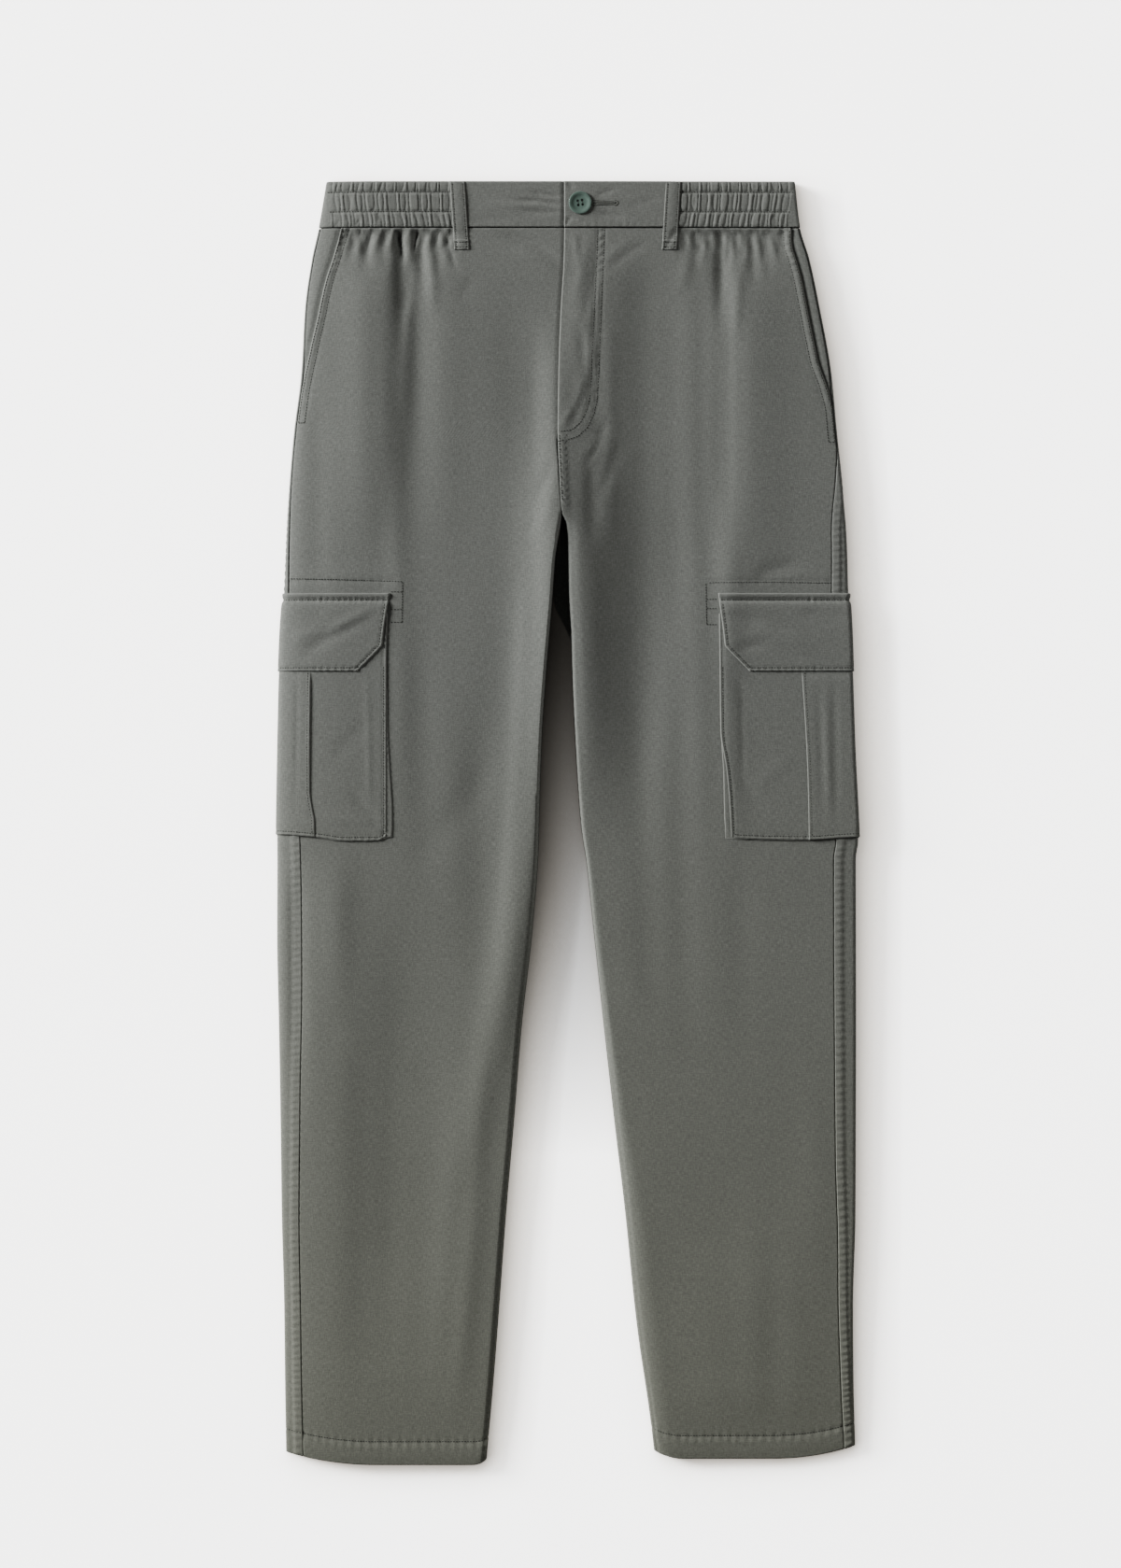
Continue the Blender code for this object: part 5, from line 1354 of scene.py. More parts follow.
def band_front_out(leg, down, inset):
    from_centre = leg.width(down) - inset
    if leg.is_left:
        out = BAND_PROUD + 0.4
    else:
        out = BAND_PROUD - 0.85 * smooth((1.8 - from_centre) / 1.7)
    out = out + crease_height(BAND_CREASES, leg.across(down, inset), down) * smooth(from_centre / 2.0)
    out = out + 0.08 * ripple(inset, 6.2, 0.2) * trough(down - 35.0, 3.0) + band_edges(down)
    start = leg.inset(down, leg.loop) + SEAM / 2
    return out + rounded(band_lap_end(leg, down) - inset, 0.9) + rounded(inset - start, 0.6)


def make_band_front(leg):
    down = BAND_ROWS
    start = leg.inset(down[:, 0], leg.loop) + SEAM / 2
    end = band_lap_end(leg, down[:, 0])
    inset = close_steps(start, end, 64, (0.0, 0.25, 0.6, 1.1, 1.8))
    placed = on_leg(leg, down, inset, band_front_out(leg, down, inset))
    worn = 0.5 * trough(down, 0.9) + 0.6 * trough(end[:, None] - inset, 0.6) * leg.is_left
    return leg_piece(leg, "band_front", "waistband_front", placed, worn, BAND_CLOTH)


def facing_down(x, down, z):
    """Places of a piece that lies under the garment, and the directions out of it."""
    places = np.stack([x, np.broadcast_to(LENGTH / 2 - down, x.shape), z], axis=-1)
    return places, np.broadcast_to(np.array([0.0, 0.0, -1.0]), places.shape)


def make_band_back():
    down = BAND_ROWS
    ends = (np.full(len(down), RIGHT_LOOP + SEAM / 2), np.full(len(down), LEFT_LOOP - SEAM / 2))
    x = close_steps(*ends, 46, (0.0, 0.3, 0.8))
    near = np.minimum(np.abs(x - RIGHT_LOOP), np.abs(x - LEFT_LOOP))
    z = (BACK_LOOP_CLOTH + 0.4) * fall(24.0, 48.0, near) * fall(58.5, 80.5, down)
    z = z - band_edges(down)
    piece = shell("band_back", *facing_down(x, down, z), np.zeros_like(x), BAND_CLOTH, CLOTH_MATERIAL)
    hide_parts("waistband_back")
    return piece


band_fronts = both(make_band_front)
band_back = make_band_back()
print(band_back.name, "polygons:", len(band_back.data.polygons))

# %% [markdown]
# Each gather is a hump with its own height. A step in the phase at both rows of stitches sets the humps of
# one band against the next, and the bottom band's humps lean towards the centre.

# %% The elasticated sides
WAVES = 24               # gathers across one side
PLAIN_STRIP = (1.0, 7.0) # width of the plain strip at the outer edge, at the top and at the bottom
SHIR_ROWS = (9.2, 25.3)  # the rows of stitches that pinch the gathers
WAVE_HEIGHT = 0.9
ELASTIC_CLOTH = 0.8


def gather_wave(position, down, seed):
    """Height from 0 to 1 across the gathers. Each gather has its own size, and each band its own phase."""
    top, bottom = SHIR_ROWS
    band = ramp(top - 1.0, top + 1.0, down) + ramp(bottom - 1.0, bottom + 1.0, down)
    shift = 0.2 * np.sin(band * 2.1 + seed) + 0.12 * band
    middle = np.abs(np.sin(math.pi * (down - top) / (bottom - top)))
    bow = 0.2 * np.cos(math.pi * (position + shift)) * middle
    lean = 0.05 * (down - bottom) * ramp(bottom - 1.0, bottom + 1.0, down)
    wander = 0.24 * np.sin(position * 1.7 + seed + 1.9 * band)
    wander = wander + 0.14 * np.sin(position * 3.3 + band + 0.06 * down)
    phase = position + shift + lean + wander + bow
    hump = np.abs(np.sin(math.pi * phase)) ** 0.45
    size = 0.78 + 0.22 * np.sin(np.round(phase - 0.5) * 2.4 + 1.3 * band + seed)
    return hump * size


def pinch(down):
    """1 between the rows of stitches, lower on them and at the band's edges."""
    top, bottom = SHIR_ROWS
    held = np.exp(-(((down - top) / 1.2) ** 2)) + np.exp(-(((down - bottom) / 1.2) ** 2))
    free = mix(0.45, 1.0, smooth(down / 4.0)) * mix(0.6, 1.0, smooth((BAND_DEPTH - down) / 3.0))
    return (1.0 - 0.75 * np.minimum(held, 1.0)) * free


def plain_strip(down):
    return mix(*PLAIN_STRIP, ramp(4.0, 34.0, down))


def elastic_position(leg, down, u):
    joint = leg.joint(down)
    return (joint - u) / (joint - plain_strip(down)) * WAVES


def elastic_out(leg, down, u):
    joint = leg.joint(down)
    position = elastic_position(leg, down, u)
    ends = smooth(position / 1.4) * smooth((WAVES - position) / 1.2) * (u > 0.0)
    wave = gather_wave(position, down, 0.6 + leg.sign) * pinch(down) - 0.42 * (1.0 - pinch(down))
    top = BAND_PROUD * smooth((u + 0.5) / 1.5)
    out = top + ends * (WAVE_HEIGHT * wave - 0.5) + band_edges(down) + rounded(joint - u, 0.6)
    inset = -ROLL - u
    under = 0.35 * (1.0 + ripple(inset, 6.0, 0.8)) * smooth(inset / 8.0) * pinch(down)
    return out - under * smooth((joint - 22.0 - inset) / 12.0) * (u < -ROLL)


print("one gather is", round(float(LEFT.joint(20.0)) / WAVES, 1), "mm wide on the left")

# %% Make the elasticated sides
def make_band_elastic(leg):
    down = BAND_ROWS
    joint = leg.joint(down)
    across = joint * (1.0 - np.linspace(0.0, 1.0, 200))[None, :]
    near = across[:, -2:-1] * np.array([[0.6, 0.25, 0.05, 0.0]])
    flat = -ROLL - (joint - EDGE_ROLL) * np.linspace(0.0, 1.0, 38)[1:][None, :]
    u = np.concatenate([across[:, :-1], near, roll_columns(len(down)), flat], axis=1)
    placed = on_leg(leg, down, u, elastic_out(leg, down, u))
    ridges = gather_wave(elastic_position(leg, down, u), down, 0.6 + leg.sign)
    worn = 0.4 * trough(down, 1.0) + (u > 0.0) * 0.3 * ridges ** 3
    return leg_piece(leg, "band_elastic", "waistband_elastic", placed, worn, ELASTIC_CLOTH)


def elastic_stitches(leg):
    rows = []
    for down in SHIR_ROWS:
        start = leg.inset(down, leg.loop) - 1.0
        rows.append(row_on(leg, elastic_out, down, np.linspace(start, plain_strip(down) + 0.8, 260)))
        under = np.linspace(-ROLL - 3.0, -ROLL - start + EDGE_ROLL + 1.0, 60)
        rows.append(row_on(leg, elastic_out, down, under))
    return sew("stitches_elastic_" + leg.name, rows)


band_sides = both(make_band_elastic)
both(elastic_stitches)

# %% [markdown]
# ## Belt loops
# A belt loop is a strip folded in three with a row of stitches along each side. Its top is caught in the
# waistband's fold, and its lower end is folded under and tacked down, which makes a small thick step.

# %% The belt loops
LOOP_ENDS = {"right": (-91.4, -87.7), "left": (85.4, 82.0)}    # across of the top and of the bottom
LOOP_ROWS = (1.8, LOOP_WIDTH - 1.8)
LOOP_TACKS = (50.6, 54.6)        # down of the two short rows that tack the lower end
FINE_STITCH = (1.6, 0.8, 0.5)
BACK_LOOP_WALL = 0.9


def loop_inset(leg, down, beside):
    top, bottom = LOOP_ENDS[leg.name]
    return leg.inset(down, mix(top, bottom, down / LOOP_LENGTH) + beside - LOOP_WIDTH / 2)


def loop_out(leg, down, inset):
    top, bottom = LOOP_ENDS[leg.name]
    beside = leg.across(down, inset) - mix(top, bottom, down / LOOP_LENGTH) + LOOP_WIDTH / 2
    side = np.minimum(beside, LOOP_WIDTH - beside)
    out = mix(BAND_PROUD + 0.2, 0.2, ramp(38.0, 43.0, down)) + 0.45
    out = out + 0.3 * ramp(0.0, 14.0, down) * fall(24.0, 40.0, down)
    out = out + 0.3 * ramp(47.6, 48.8, down) + 0.1 * smooth((side - 2.6) / 3.0)
    out = out - 0.14 * trough(side - LOOP_ROWS[0], 0.7)
    out = out + 0.16 * ripple(down, 4.4, leg.sign) * trough(side - 1.2, 1.6)
    out = out - 0.25 * (trough(down - LOOP_TACKS[0], 0.7) + trough(down - LOOP_TACKS[1], 0.7))
    return out + rounded(side, 0.5) + rounded(down - 0.3, 0.8) + rounded(LOOP_LENGTH - down, 0.8)


# %% Make the belt loops
def make_loop(leg):
    down = np.concatenate([
        [0.3, 0.5, 0.8, 1.3], np.linspace(2.0, 46.0, 32), [47.4, 48.2, 48.8, 49.4, 50.0, 50.6, 51.2],
        np.linspace(52.0, 55.2, 5), [55.6, 56.1, 56.4, LOOP_LENGTH],
    ])[:, None]
    share = np.array([0.0, 0.02, 0.05, 0.1, 0.15, 0.2, 0.28, 0.38, 0.5])
    share = np.concatenate([share, 1.0 - share[-2::-1]])[None, :]
    inset = loop_inset(leg, down, share * LOOP_WIDTH)
    placed = on_leg(leg, down, inset, loop_out(leg, down, inset))
    side = np.minimum(share, 1.0 - share) * LOOP_WIDTH
    worn = 0.5 * trough(side, 0.6) + 0.6 * trough(LOOP_LENGTH - down, 0.9) + 0.4 * trough(down - 48.6, 0.9)
    return leg_piece(leg, "loop_front", "belt_loop_front", placed, worn)


def loop_stitches(leg):
    down = np.linspace(2.0, 55.0, 40)
    rows = [row_on(leg, loop_out, down, loop_inset(leg, down, beside)) for beside in LOOP_ROWS]
    beside = np.linspace(1.4, LOOP_WIDTH - 1.4, 8)
    rows += [row_on(leg, loop_out, at, loop_inset(leg, at, beside)) for at in LOOP_TACKS]
    return sew("stitches_loop_" + leg.name, rows, FINE_STITCH, 2.1)


def make_back_loop(leg):
    down = np.concatenate([[0.6, 0.9, 1.4], np.linspace(2.4, 55.0, 20), [55.6, 56.1, LOOP_LENGTH]])[:, None]
    share = np.array([0.0, 0.04, 0.12, 0.25, 0.4, 0.6, 0.75, 0.88, 0.96, 1.0])[None, :]
    side = np.minimum(share, 1.0 - share) * LOOP_WIDTH
    z = 0.12 * trough(side - 1.7, 0.8) - rounded(side, 0.4) - rounded(down - 0.6, 0.4)
    z = z - rounded(LOOP_LENGTH - down, 0.4)
    x = np.broadcast_to(leg.loop + LOOP_WIDTH * (share - 0.5), z.shape)
    worn = np.broadcast_to(0.3 * trough(side, 0.8), z.shape)
    return leg_piece(leg, "loop_back", "belt_loop_back", facing_down(x, down, z), worn, BACK_LOOP_WALL)


loops = both(make_loop)
back_loops = both(make_back_loop)
both(loop_stitches)

# %% [markdown]
# ## Cargo pockets
# A cargo pocket is a flat bag sewn on over a gusset, which is a strip folded like a bellows so that the
# pocket can swell. A box pleat runs down the bag, and a flap with a cut corner covers its mouth. Half of
# each pocket shows; the other half wraps round the side of the leg to the back.

# %% The bags
BAG_SEAM_ROW = 2.4       # stitches from the bag's edge
PLEAT_ROW = 2.4          # and from the pleat's edge
BAG_CREASES = rows_of(
    Crease,
    (-212, 395, -214, 520, 0.5, 0.35, 1.8), (-222, 400, -224, 525, 0.5, -0.3, 1.6),
    (-192, 474, -158, 440, 2, -0.25, 6), (-165, 405, -163, 520, 0.5, 0.25, 2.4),
    (-204, 520, -150, 524, 1, 0.3, 3), (-180, 500, -152, 528, 1, -0.4, 4),
    (216, 408, 219, 530, 0.5, -0.4, 1.8), (210, 408, 212, 530, 0.5, 0.4, 1.6),
    (204, 415, 207, 525, 0.5, -0.3, 1.6), (140, 405, 142, 500, 0.5, -0.25, 2.2),
    (128, 395, 150, 440, 1, -0.25, 6), (150, 500, 186, 470, 2, 0.2, 6), (128, 470, 160, 520, 1, -0.2, 6),
)


def pocket_columns(start, pleat, under):
    """Columns over the front, round the folded edge and underneath."""
    count = len(start)
    first = close_steps(start, pleat + 0.05, 36, (0.0, 0.25, 0.6, 1.0, 1.6, 2.4))
    strip = close_steps(pleat - 0.05, np.full(count, 3.0), 14, (0.0, 0.3, 0.8, 1.4))
    near = np.broadcast_to(np.array([2.0, 1.2, 0.6, 0.25, 0.05, 0.0]), (count, 6))
    below = close_steps(np.full(count, -ROLL - 1.0), beneath(under), 22, (0.0, 0.8, 1.6, 2.4))
    return np.concatenate([first, strip, near, roll_columns(count), below], axis=1)


def bag_under(leg):
    """u of the bag's hidden edge."""
    return beneath(leg.pocket.under)


def bag_out(leg, down, u):
    """Offset of the bag: its pleat, its stitched edges and its creases."""
    from_edge = np.minimum(leg.bag_edge(down) - u, u - bag_under(leg))
    from_pleat = leg.pleat_edge(down) - u
    from_bottom = BAG_BOTTOM - down
    pleated = (from_pleat > 0.0) * ramp(FLAP_BOTTOM - 1.5, FLAP_BOTTOM + 9.5, down) * smooth(u / 3.0 + 0.35)
    pleat = PLEAT_PROUD + 0.2 + rounded(from_pleat, 0.6) - 0.25 * trough(from_pleat - PLEAT_ROW, 0.8)
    out = BAG_OUT + pleated * pleat
    out = out - 0.3 * (trough(from_edge - BAG_SEAM_ROW, 0.9) + trough(from_bottom - 3.0, 0.9))
    out = out + 0.16 * ripple(down, 5.3, leg.sign) * trough(from_edge - 1.8, 2.6)
    out = out + 0.14 * ripple(u, 5.6, 1.1) * trough(from_bottom - 2.0, 3.0) * (u > -ROLL)
    out = out + crease_height(BAG_CREASES, leg.across(down, u), down) * (u > 0.0) * smooth(u / 6.0)
    out = out + rounded(from_edge, 0.9) + rounded(from_bottom, 0.9)
    return np.where(u < -ROLL * 0.5, np.minimum(out, BAG_OUT), out)


# %% Make the bags
def sagging(leg, down, u, row):
    """The same row of places, lower where the pocket's bottom sags."""
    places, outward = row
    share = u / leg.bag_edge(down)
    places[..., 1] -= leg.bag_sag(share) * ramp(470.0, BAG_BOTTOM, down)
    return places, outward


def make_bag(leg):
    down = np.concatenate([
        BAG_TOP + np.array([0.0, 2.0]), np.arange(359.0, 534.0, 2.4),
        BAG_BOTTOM - np.array([3.4, 2.4, 1.6, 1.0, 0.6, 0.25, 0.0]),
    ])[:, None]
    start, pleat = leg.bag_edge(down[:, 0]), leg.pleat_edge(down[:, 0])
    u = pocket_columns(start, pleat, np.full(len(down), leg.pocket.under))
    placed = sagging(leg, down, u, on_leg(leg, down, u, bag_out(leg, down, u)))
    from_pleat = leg.pleat_edge(down) - u
    worn = 0.4 * trough(leg.bag_edge(down) - u, 0.6) + 0.6 * trough(BAG_BOTTOM - down, 0.7)
    worn = worn + 0.35 * trough(from_pleat - 0.2, 0.5) * (from_pleat > 0.0) * ramp(396.0, 404.0, down)
    return leg_piece(leg, "pocket_bag", "cargo_bag", placed, worn, POCKET_CLOTH)


def bag_stitches(leg):
    down = np.linspace(FLAP_BOTTOM - 4.0, BAG_BOTTOM - 3.0, 70)
    low = np.full(120, BAG_BOTTOM - 3.0)
    lines = [
        (down, leg.bag_edge(down) - BAG_SEAM_ROW), (down, leg.pleat_edge(down) - PLEAT_ROW),
        (down, np.full_like(down, bag_under(leg) + BAG_SEAM_ROW)),
        (low, np.linspace(leg.bag_edge(low[0]) - BAG_SEAM_ROW, bag_under(leg) + BAG_SEAM_ROW, 120)),
    ]
    rows = [sagging(leg, down, u, row_on(leg, bag_out, down, u)) for down, u in lines]
    return sew("stitches_bag_" + leg.name, rows)


bags = both(make_bag)
both(bag_stitches)

# %% [markdown]
# The gusset is one strip that runs down the pocket's front edge, along its bottom and up again behind. Its
# outer edge shows more towards the bottom, where the pocket hangs away from the leg.

# %% The gussets
GUSSET_TOP = 358.0
GUSSET_WIDTH = 14.0
GUSSET_SHOWS = {
    "right": Curve((
        (358, -0.8), (404, -0.8), (420, 0.8), (448, 1.3), (482, 3), (520, 5), (538, 5),
    )),
    "left": Curve(((358, -0.8), (446, -0.8), (481, 2.6), (525, 4.8), (538, 4.8))),
}
GUSSET_DROP = 0.8
GUSSET_OUT = 0.6


def gusset_line(leg, hidden):
    """The gusset's outer or hidden edge as (down, u): down the front, along the bottom and up."""
    bottom = BAG_BOTTOM + GUSSET_DROP
    above = bottom - GUSSET_WIDTH
    low = above if hidden else bottom
    step = GUSSET_WIDTH if hidden else 0.0
    shows = GUSSET_SHOWS[leg.name]
    front = [(down, leg.bag_edge(down) + shows(down) - step) for down in np.linspace(GUSSET_TOP, above, 60)]
    corner = leg.bag_edge(above) + shows(above)
    front.append((low, corner - step))
    along = [(low, u) for u in np.linspace(corner - 16.0, 3.0, 20)]
    along += [(low, u) for u in (1.2, 0.4, 0.05, 0.0)]
    along += [(low, -ROLL * share) for share in np.linspace(0.0, 1.0, 6)[1:]]
    edge = bag_under(leg) + 1.0
    along += [(low, u) for u in np.linspace(-ROLL - 6.0, edge + 16.0, 14)]
    rear = [(low, edge + step)]
    rear += [(down, edge + step) for down in np.linspace(above, GUSSET_TOP, 44)]
    return np.array(front + along + rear)


def make_gusset(leg):
    outer = gusset_line(leg, False)
    inner = gusset_line(leg, True)
    share = np.array([0.0, 0.025, 0.06, 0.11, 0.18, 0.3, 0.5, 0.75, 1.0])[:, None]
    down = mix(outer[None, :, 0], inner[None, :, 0], share)
    u = mix(outer[None, :, 1], inner[None, :, 1], share)
    out = GUSSET_OUT + rounded(share * GUSSET_WIDTH, 0.8)
    out = out + 0.12 * ripple(down + u, 6.0, leg.sign) * (1.0 - share)
    placed = sagging(leg, down, u, on_leg(leg, down, u, out))
    worn = np.broadcast_to(0.5 * trough(share * GUSSET_WIDTH, 0.6), u.shape)
    return leg_piece(leg, "pocket_gusset", "cargo_gusset", placed, worn)


gussets = both(make_gusset)

# %% [markdown]
# The flap's top is folded over and stitched flat on the leg, so that it makes a narrow welt. Below that the
# flap climbs over the bag's mouth. The cut corner is an oblique line: the columns of the grid start further
# in on each row, and the distance from the oblique edge is measured square to it.

# %% The flaps
FLAP_SIDE = 1.8
WELT_DEPTH = 5.6         # the stitched band along the flap's top
WELT_OUT = 1.7           # its outer face over the leg
FLAP_ROW = 2.7           # stitches from the flap's edge
CORNER_TOP = 381.0       # where the cut corner starts
CORNER_RUN = 19.1        # how far in it goes
flap_cut = Curve((
    (FLAP_TOP, 0.0), (345.0, 0.6), (352.5, 1.3), (366.0, 2.4), (380.8, 3.6), (381.2, 3.9),
    (FLAP_BOTTOM, 23.0),
))
FLAP_CREASES = rows_of(
    Crease,
    (-218, 388, -162, 359, 2, -0.55, 5), (-196, 370, -158, 350, 1, 0.6, 4.5),
    (-226, 378, -200, 366, 1, 0.4, 5), (140, 372, 206, 384, 3, 0.5, 8), (128, 356, 160, 364, 1, -0.4, 5),
    (190, 352, 226, 360, 1, -0.35, 5), (134, 386, 168, 376, 1, -0.4, 5),
)


def flap_height(down):
    """Outer face of the flap: a rounded fold at the top, a stitched dip, then out over the pocket."""
    from_top = down - FLAP_TOP
    welt = WELT_OUT + rounded(from_top, 1.0) - 1.1 * trough(from_top - WELT_DEPTH, 1.8)
    return welt + (FLAP_OUT - WELT_OUT) * ramp(WELT_DEPTH - 0.5, WELT_DEPTH + 7.5, from_top)


def flap_ends(leg, down):
    """u of the flap's front and hidden edges."""
    cut = flap_cut(down)
    return leg.pocket.front_top + FLAP_SIDE - cut, beneath(leg.pocket.under + 2.0 - cut)


def corner_slope(down):
    """Share that turns a distance across into one square to the edge, at the cut corner."""
    height = FLAP_BOTTOM - CORNER_TOP
    return mix(1.0, height / math.hypot(CORNER_RUN, height), ramp(CORNER_TOP - 0.5, CORNER_TOP + 0.5, down))


def flap_out(leg, down, u):
    start, end = flap_ends(leg, down)
    from_edge = np.minimum(start - u, u - end) * corner_slope(down)
    from_bottom = FLAP_BOTTOM - down
    out = flap_height(down)
    rows = trough(from_edge - FLAP_ROW, 0.9) + trough(from_bottom - FLAP_ROW - 0.2, 0.9)
    out = out - 0.32 * rows * ramp(344.0, 350.0, down)
    out = out + 0.15 * ripple(down, 5.1, leg.sign) * trough(from_edge - 1.8, 2.4)
    out = out + 0.15 * ripple(u, 5.4, 0.6) * trough(from_bottom - 1.8, 2.6)
    out = out + 0.22 * ripple(u, 4.8, 1.7) * trough(down - FLAP_TOP - WELT_DEPTH, 2.4)
    out = out + crease_height(FLAP_CREASES, leg.across(down, u), down) * smooth(u / 5.0) * (u > 0.0)
    out = out + rounded(from_edge, 0.9) + rounded(from_bottom, 0.9)
    return np.where(u < -ROLL * 0.5, np.minimum(out, FLAP_OUT), out)


# %% Make the flaps
def make_flap(leg):
    down = np.concatenate([
        FLAP_TOP + np.array([0.0, 0.2, 0.5, 0.9, 1.4, 2.2]), np.arange(340.6, 380.8, 0.95), [381.0],
        np.arange(381.9, 397.6, 1.0), FLAP_BOTTOM - np.array([3.2, 2.4, 1.6, 1.0, 0.6, 0.25, 0.0]),
    ])[:, None]
    start, end = flap_ends(leg, down[:, 0])
    u = pocket_columns(start, np.full(len(down), 30.0), beneath(end))
    placed = on_leg(leg, down, u, flap_out(leg, down, u))
    worn = trough((start[:, None] - u) * corner_slope(down), 0.6) + trough(FLAP_BOTTOM - down, 0.7)
    worn = 0.55 * worn + 0.4 * trough(down - FLAP_TOP - 0.8, 0.9)
    return leg_piece(leg, "pocket_flap", "cargo_flap", placed, worn, POCKET_CLOTH)


def flap_stitches(leg):
    welt = FLAP_TOP + WELT_DEPTH
    low = FLAP_BOTTOM - FLAP_ROW - 0.2
    down = np.linspace(welt + 3.0, low, 40)
    start, end = flap_ends(leg, down)
    rows = [row_on(leg, flap_out, down, start - FLAP_ROW / corner_slope(down))]
    rows.append(row_on(leg, flap_out, down, end + FLAP_ROW / corner_slope(down)))
    for at, margin in ((welt, 1.2), (low, FLAP_ROW / corner_slope(low))):
        start, end = flap_ends(leg, at)
        rows.append(row_on(leg, flap_out, at, np.linspace(start - margin, end + margin, 120)))
    return sew("stitches_flap_" + leg.name, rows)


flaps = both(make_flap)
both(flap_stitches)

# %% [markdown]
# ## The button and its hole
# A trouser button is a small dish of cast resin with a raised rim and four holes. It is turned from a
# cylinder: the top is inset for the rim, sunk for the dish and softened by a bevel, and the holes are cut
# right through.

# %% The button
BUTTON_TURN = 8.0        # degrees that its holes are turned
HOLE_RADIUS = 1.1
HOLE_SPREAD = 1.8
RESIN = (0.100, 0.152, 0.131)
BUTTON_DEPTH = 1.7
DISH_DEPTH = 0.5         # how far the middle lies below the rim
DISH_HEIGHT = BUTTON_DEPTH / 2 - DISH_DEPTH
RIM_WIDTH = 1.9
RIM_SLOPE = 0.9          # how far the rim slopes down into the dish
DISH_STEP = 2.4          # and the dish's own outer part
BUTTON_SHIFT = 1.2       # how far below the solid button's middle it is sewn on

button_low, button_high = (np.array(corner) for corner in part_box("fly_button"))
BUTTON_RADIUS = (button_high[0] - button_low[0]) / 2
BUTTON_MIDDLE = (button_low + button_high) / 2
button_down = LENGTH / 2 - BUTTON_MIDDLE[1] / MM
button_seat = row_on(LEFT, band_front_out, button_down, LEFT.inset(button_down, BUTTON_MIDDLE[0] / MM))[0]
print("middle of the solid button in mm:", np.round(BUTTON_MIDDLE / MM, 2))
print("the cloth under it in mm:", np.round(button_seat, 2))
BUTTON_MIDDLE[1] -= BUTTON_SHIFT * MM
BUTTON_MIDDLE[2] = (button_seat[2] - 0.5 + BUTTON_DEPTH / 2) * MM
# it leans as the band does between 8 mm above its middle and 8 mm below
above, below = (float(top_height(LEFT, down, LEFT.inset(down, 9.2))) for down in (8.9, 24.9))
BUTTON_TILT = -math.atan2(below - above, 16.0)


# %% The button's resin
def resin_material():
    material, tree, shader = new_material("green resin")
    place = add_node(tree, "TexCoord").outputs["Object"]
    tones = [scaled(RESIN, tone) for tone in (0.8, 1.0, 1.3)]
    cloudy = colour_ramp(tree, noise(tree, place, 260.0, 3.0), tones)
    scuffed = math_node(tree, "MULTIPLY", noise(tree, place, 1500.0), 0.3)
    feed(tree, shader, {
        "Base Color": cloudy, "Roughness": math_node(tree, "ADD", scuffed, 0.22),
        "Specular IOR Level": 0.5, "Coat Weight": 0.25,
    })
    return material


# %% Turn the button
def select_faces(mesh, wanted):
    """Select in edit mode the faces whose centre and normal pass a test."""
    bpy.ops.object.mode_set(mode="OBJECT")
    for face in mesh.polygons:
        face.select = wanted(face.center, face.normal)
    bpy.ops.object.mode_set(mode="EDIT")


def make_button():
    bpy.ops.object.select_all(action="DESELECT")
    bpy.ops.mesh.primitive_cylinder_add(vertices=72, radius=BUTTON_RADIUS, depth=BUTTON_DEPTH * MM)
    button = bpy.context.active_object
    button.name = "button"
    button.data.name = "button"
    top = (BUTTON_DEPTH / 2 - 0.01) * MM
    bpy.ops.object.mode_set(mode="EDIT")
    bpy.ops.mesh.select_mode(type="FACE")
    select_faces(button.data, lambda centre, normal: normal.z > 0.9 and centre.z > top)
    bpy.ops.mesh.inset(thickness=RIM_WIDTH * MM)
    bpy.ops.mesh.inset(thickness=RIM_SLOPE * MM)
    bpy.ops.transform.translate(value=(0.0, 0.0, -DISH_DEPTH * MM))
    bpy.ops.mesh.inset(thickness=DISH_STEP * MM)
    bpy.ops.transform.translate(value=(0.0, 0.0, -0.1 * MM))
    bpy.ops.object.mode_set(mode="OBJECT")
    soften = button.modifiers.new("soft edges", "BEVEL")
    soften.width = 0.3 * MM
    soften.segments = 3
    soften.limit_method = "ANGLE"
    soften.angle_limit = math.radians(30)
    bpy.ops.object.modifier_apply(modifier=soften.name)
    for number in range(4):
        angle = math.radians(45 + 90 * number + BUTTON_TURN)
        spread = HOLE_SPREAD * math.sqrt(2) * MM
        place = (spread * math.cos(angle), spread * math.sin(angle), 0.0)
        bpy.ops.mesh.primitive_cylinder_add(
            vertices=20, radius=HOLE_RADIUS * MM, depth=8 * MM, location=place,
        )
        drill = bpy.context.active_object
        bpy.context.view_layer.objects.active = button
        hole = button.modifiers.new("hole", "BOOLEAN")
        hole.operation = "DIFFERENCE"
        hole.object = drill
        bpy.ops.object.modifier_apply(modifier=hole.name)
        bpy.data.objects.remove(drill, do_unlink=True)
    button.data.transform(Matrix.Translation(BUTTON_MIDDLE.tolist()) @ Matrix.Rotation(BUTTON_TILT, 4, "X"))
    bpy.ops.object.select_all(action="DESELECT")
    button.select_set(True)
    bpy.ops.object.shade_smooth_by_angle(angle=math.radians(40))
    button.data.materials.append(resin_material())
    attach(button, "root")
    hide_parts("fly_button")
    return button


button = make_button()
print("button radius in mm:", round(BUTTON_RADIUS / MM, 2), " faces:", len(button.data.polygons))

# %% [markdown]
# Two parallel thread bars hold the button. The buttonhole beside it is a slit edged with satin stitches,
# packed side by side across the edge, and it ends in a round eyelet where the button's shank would sit.

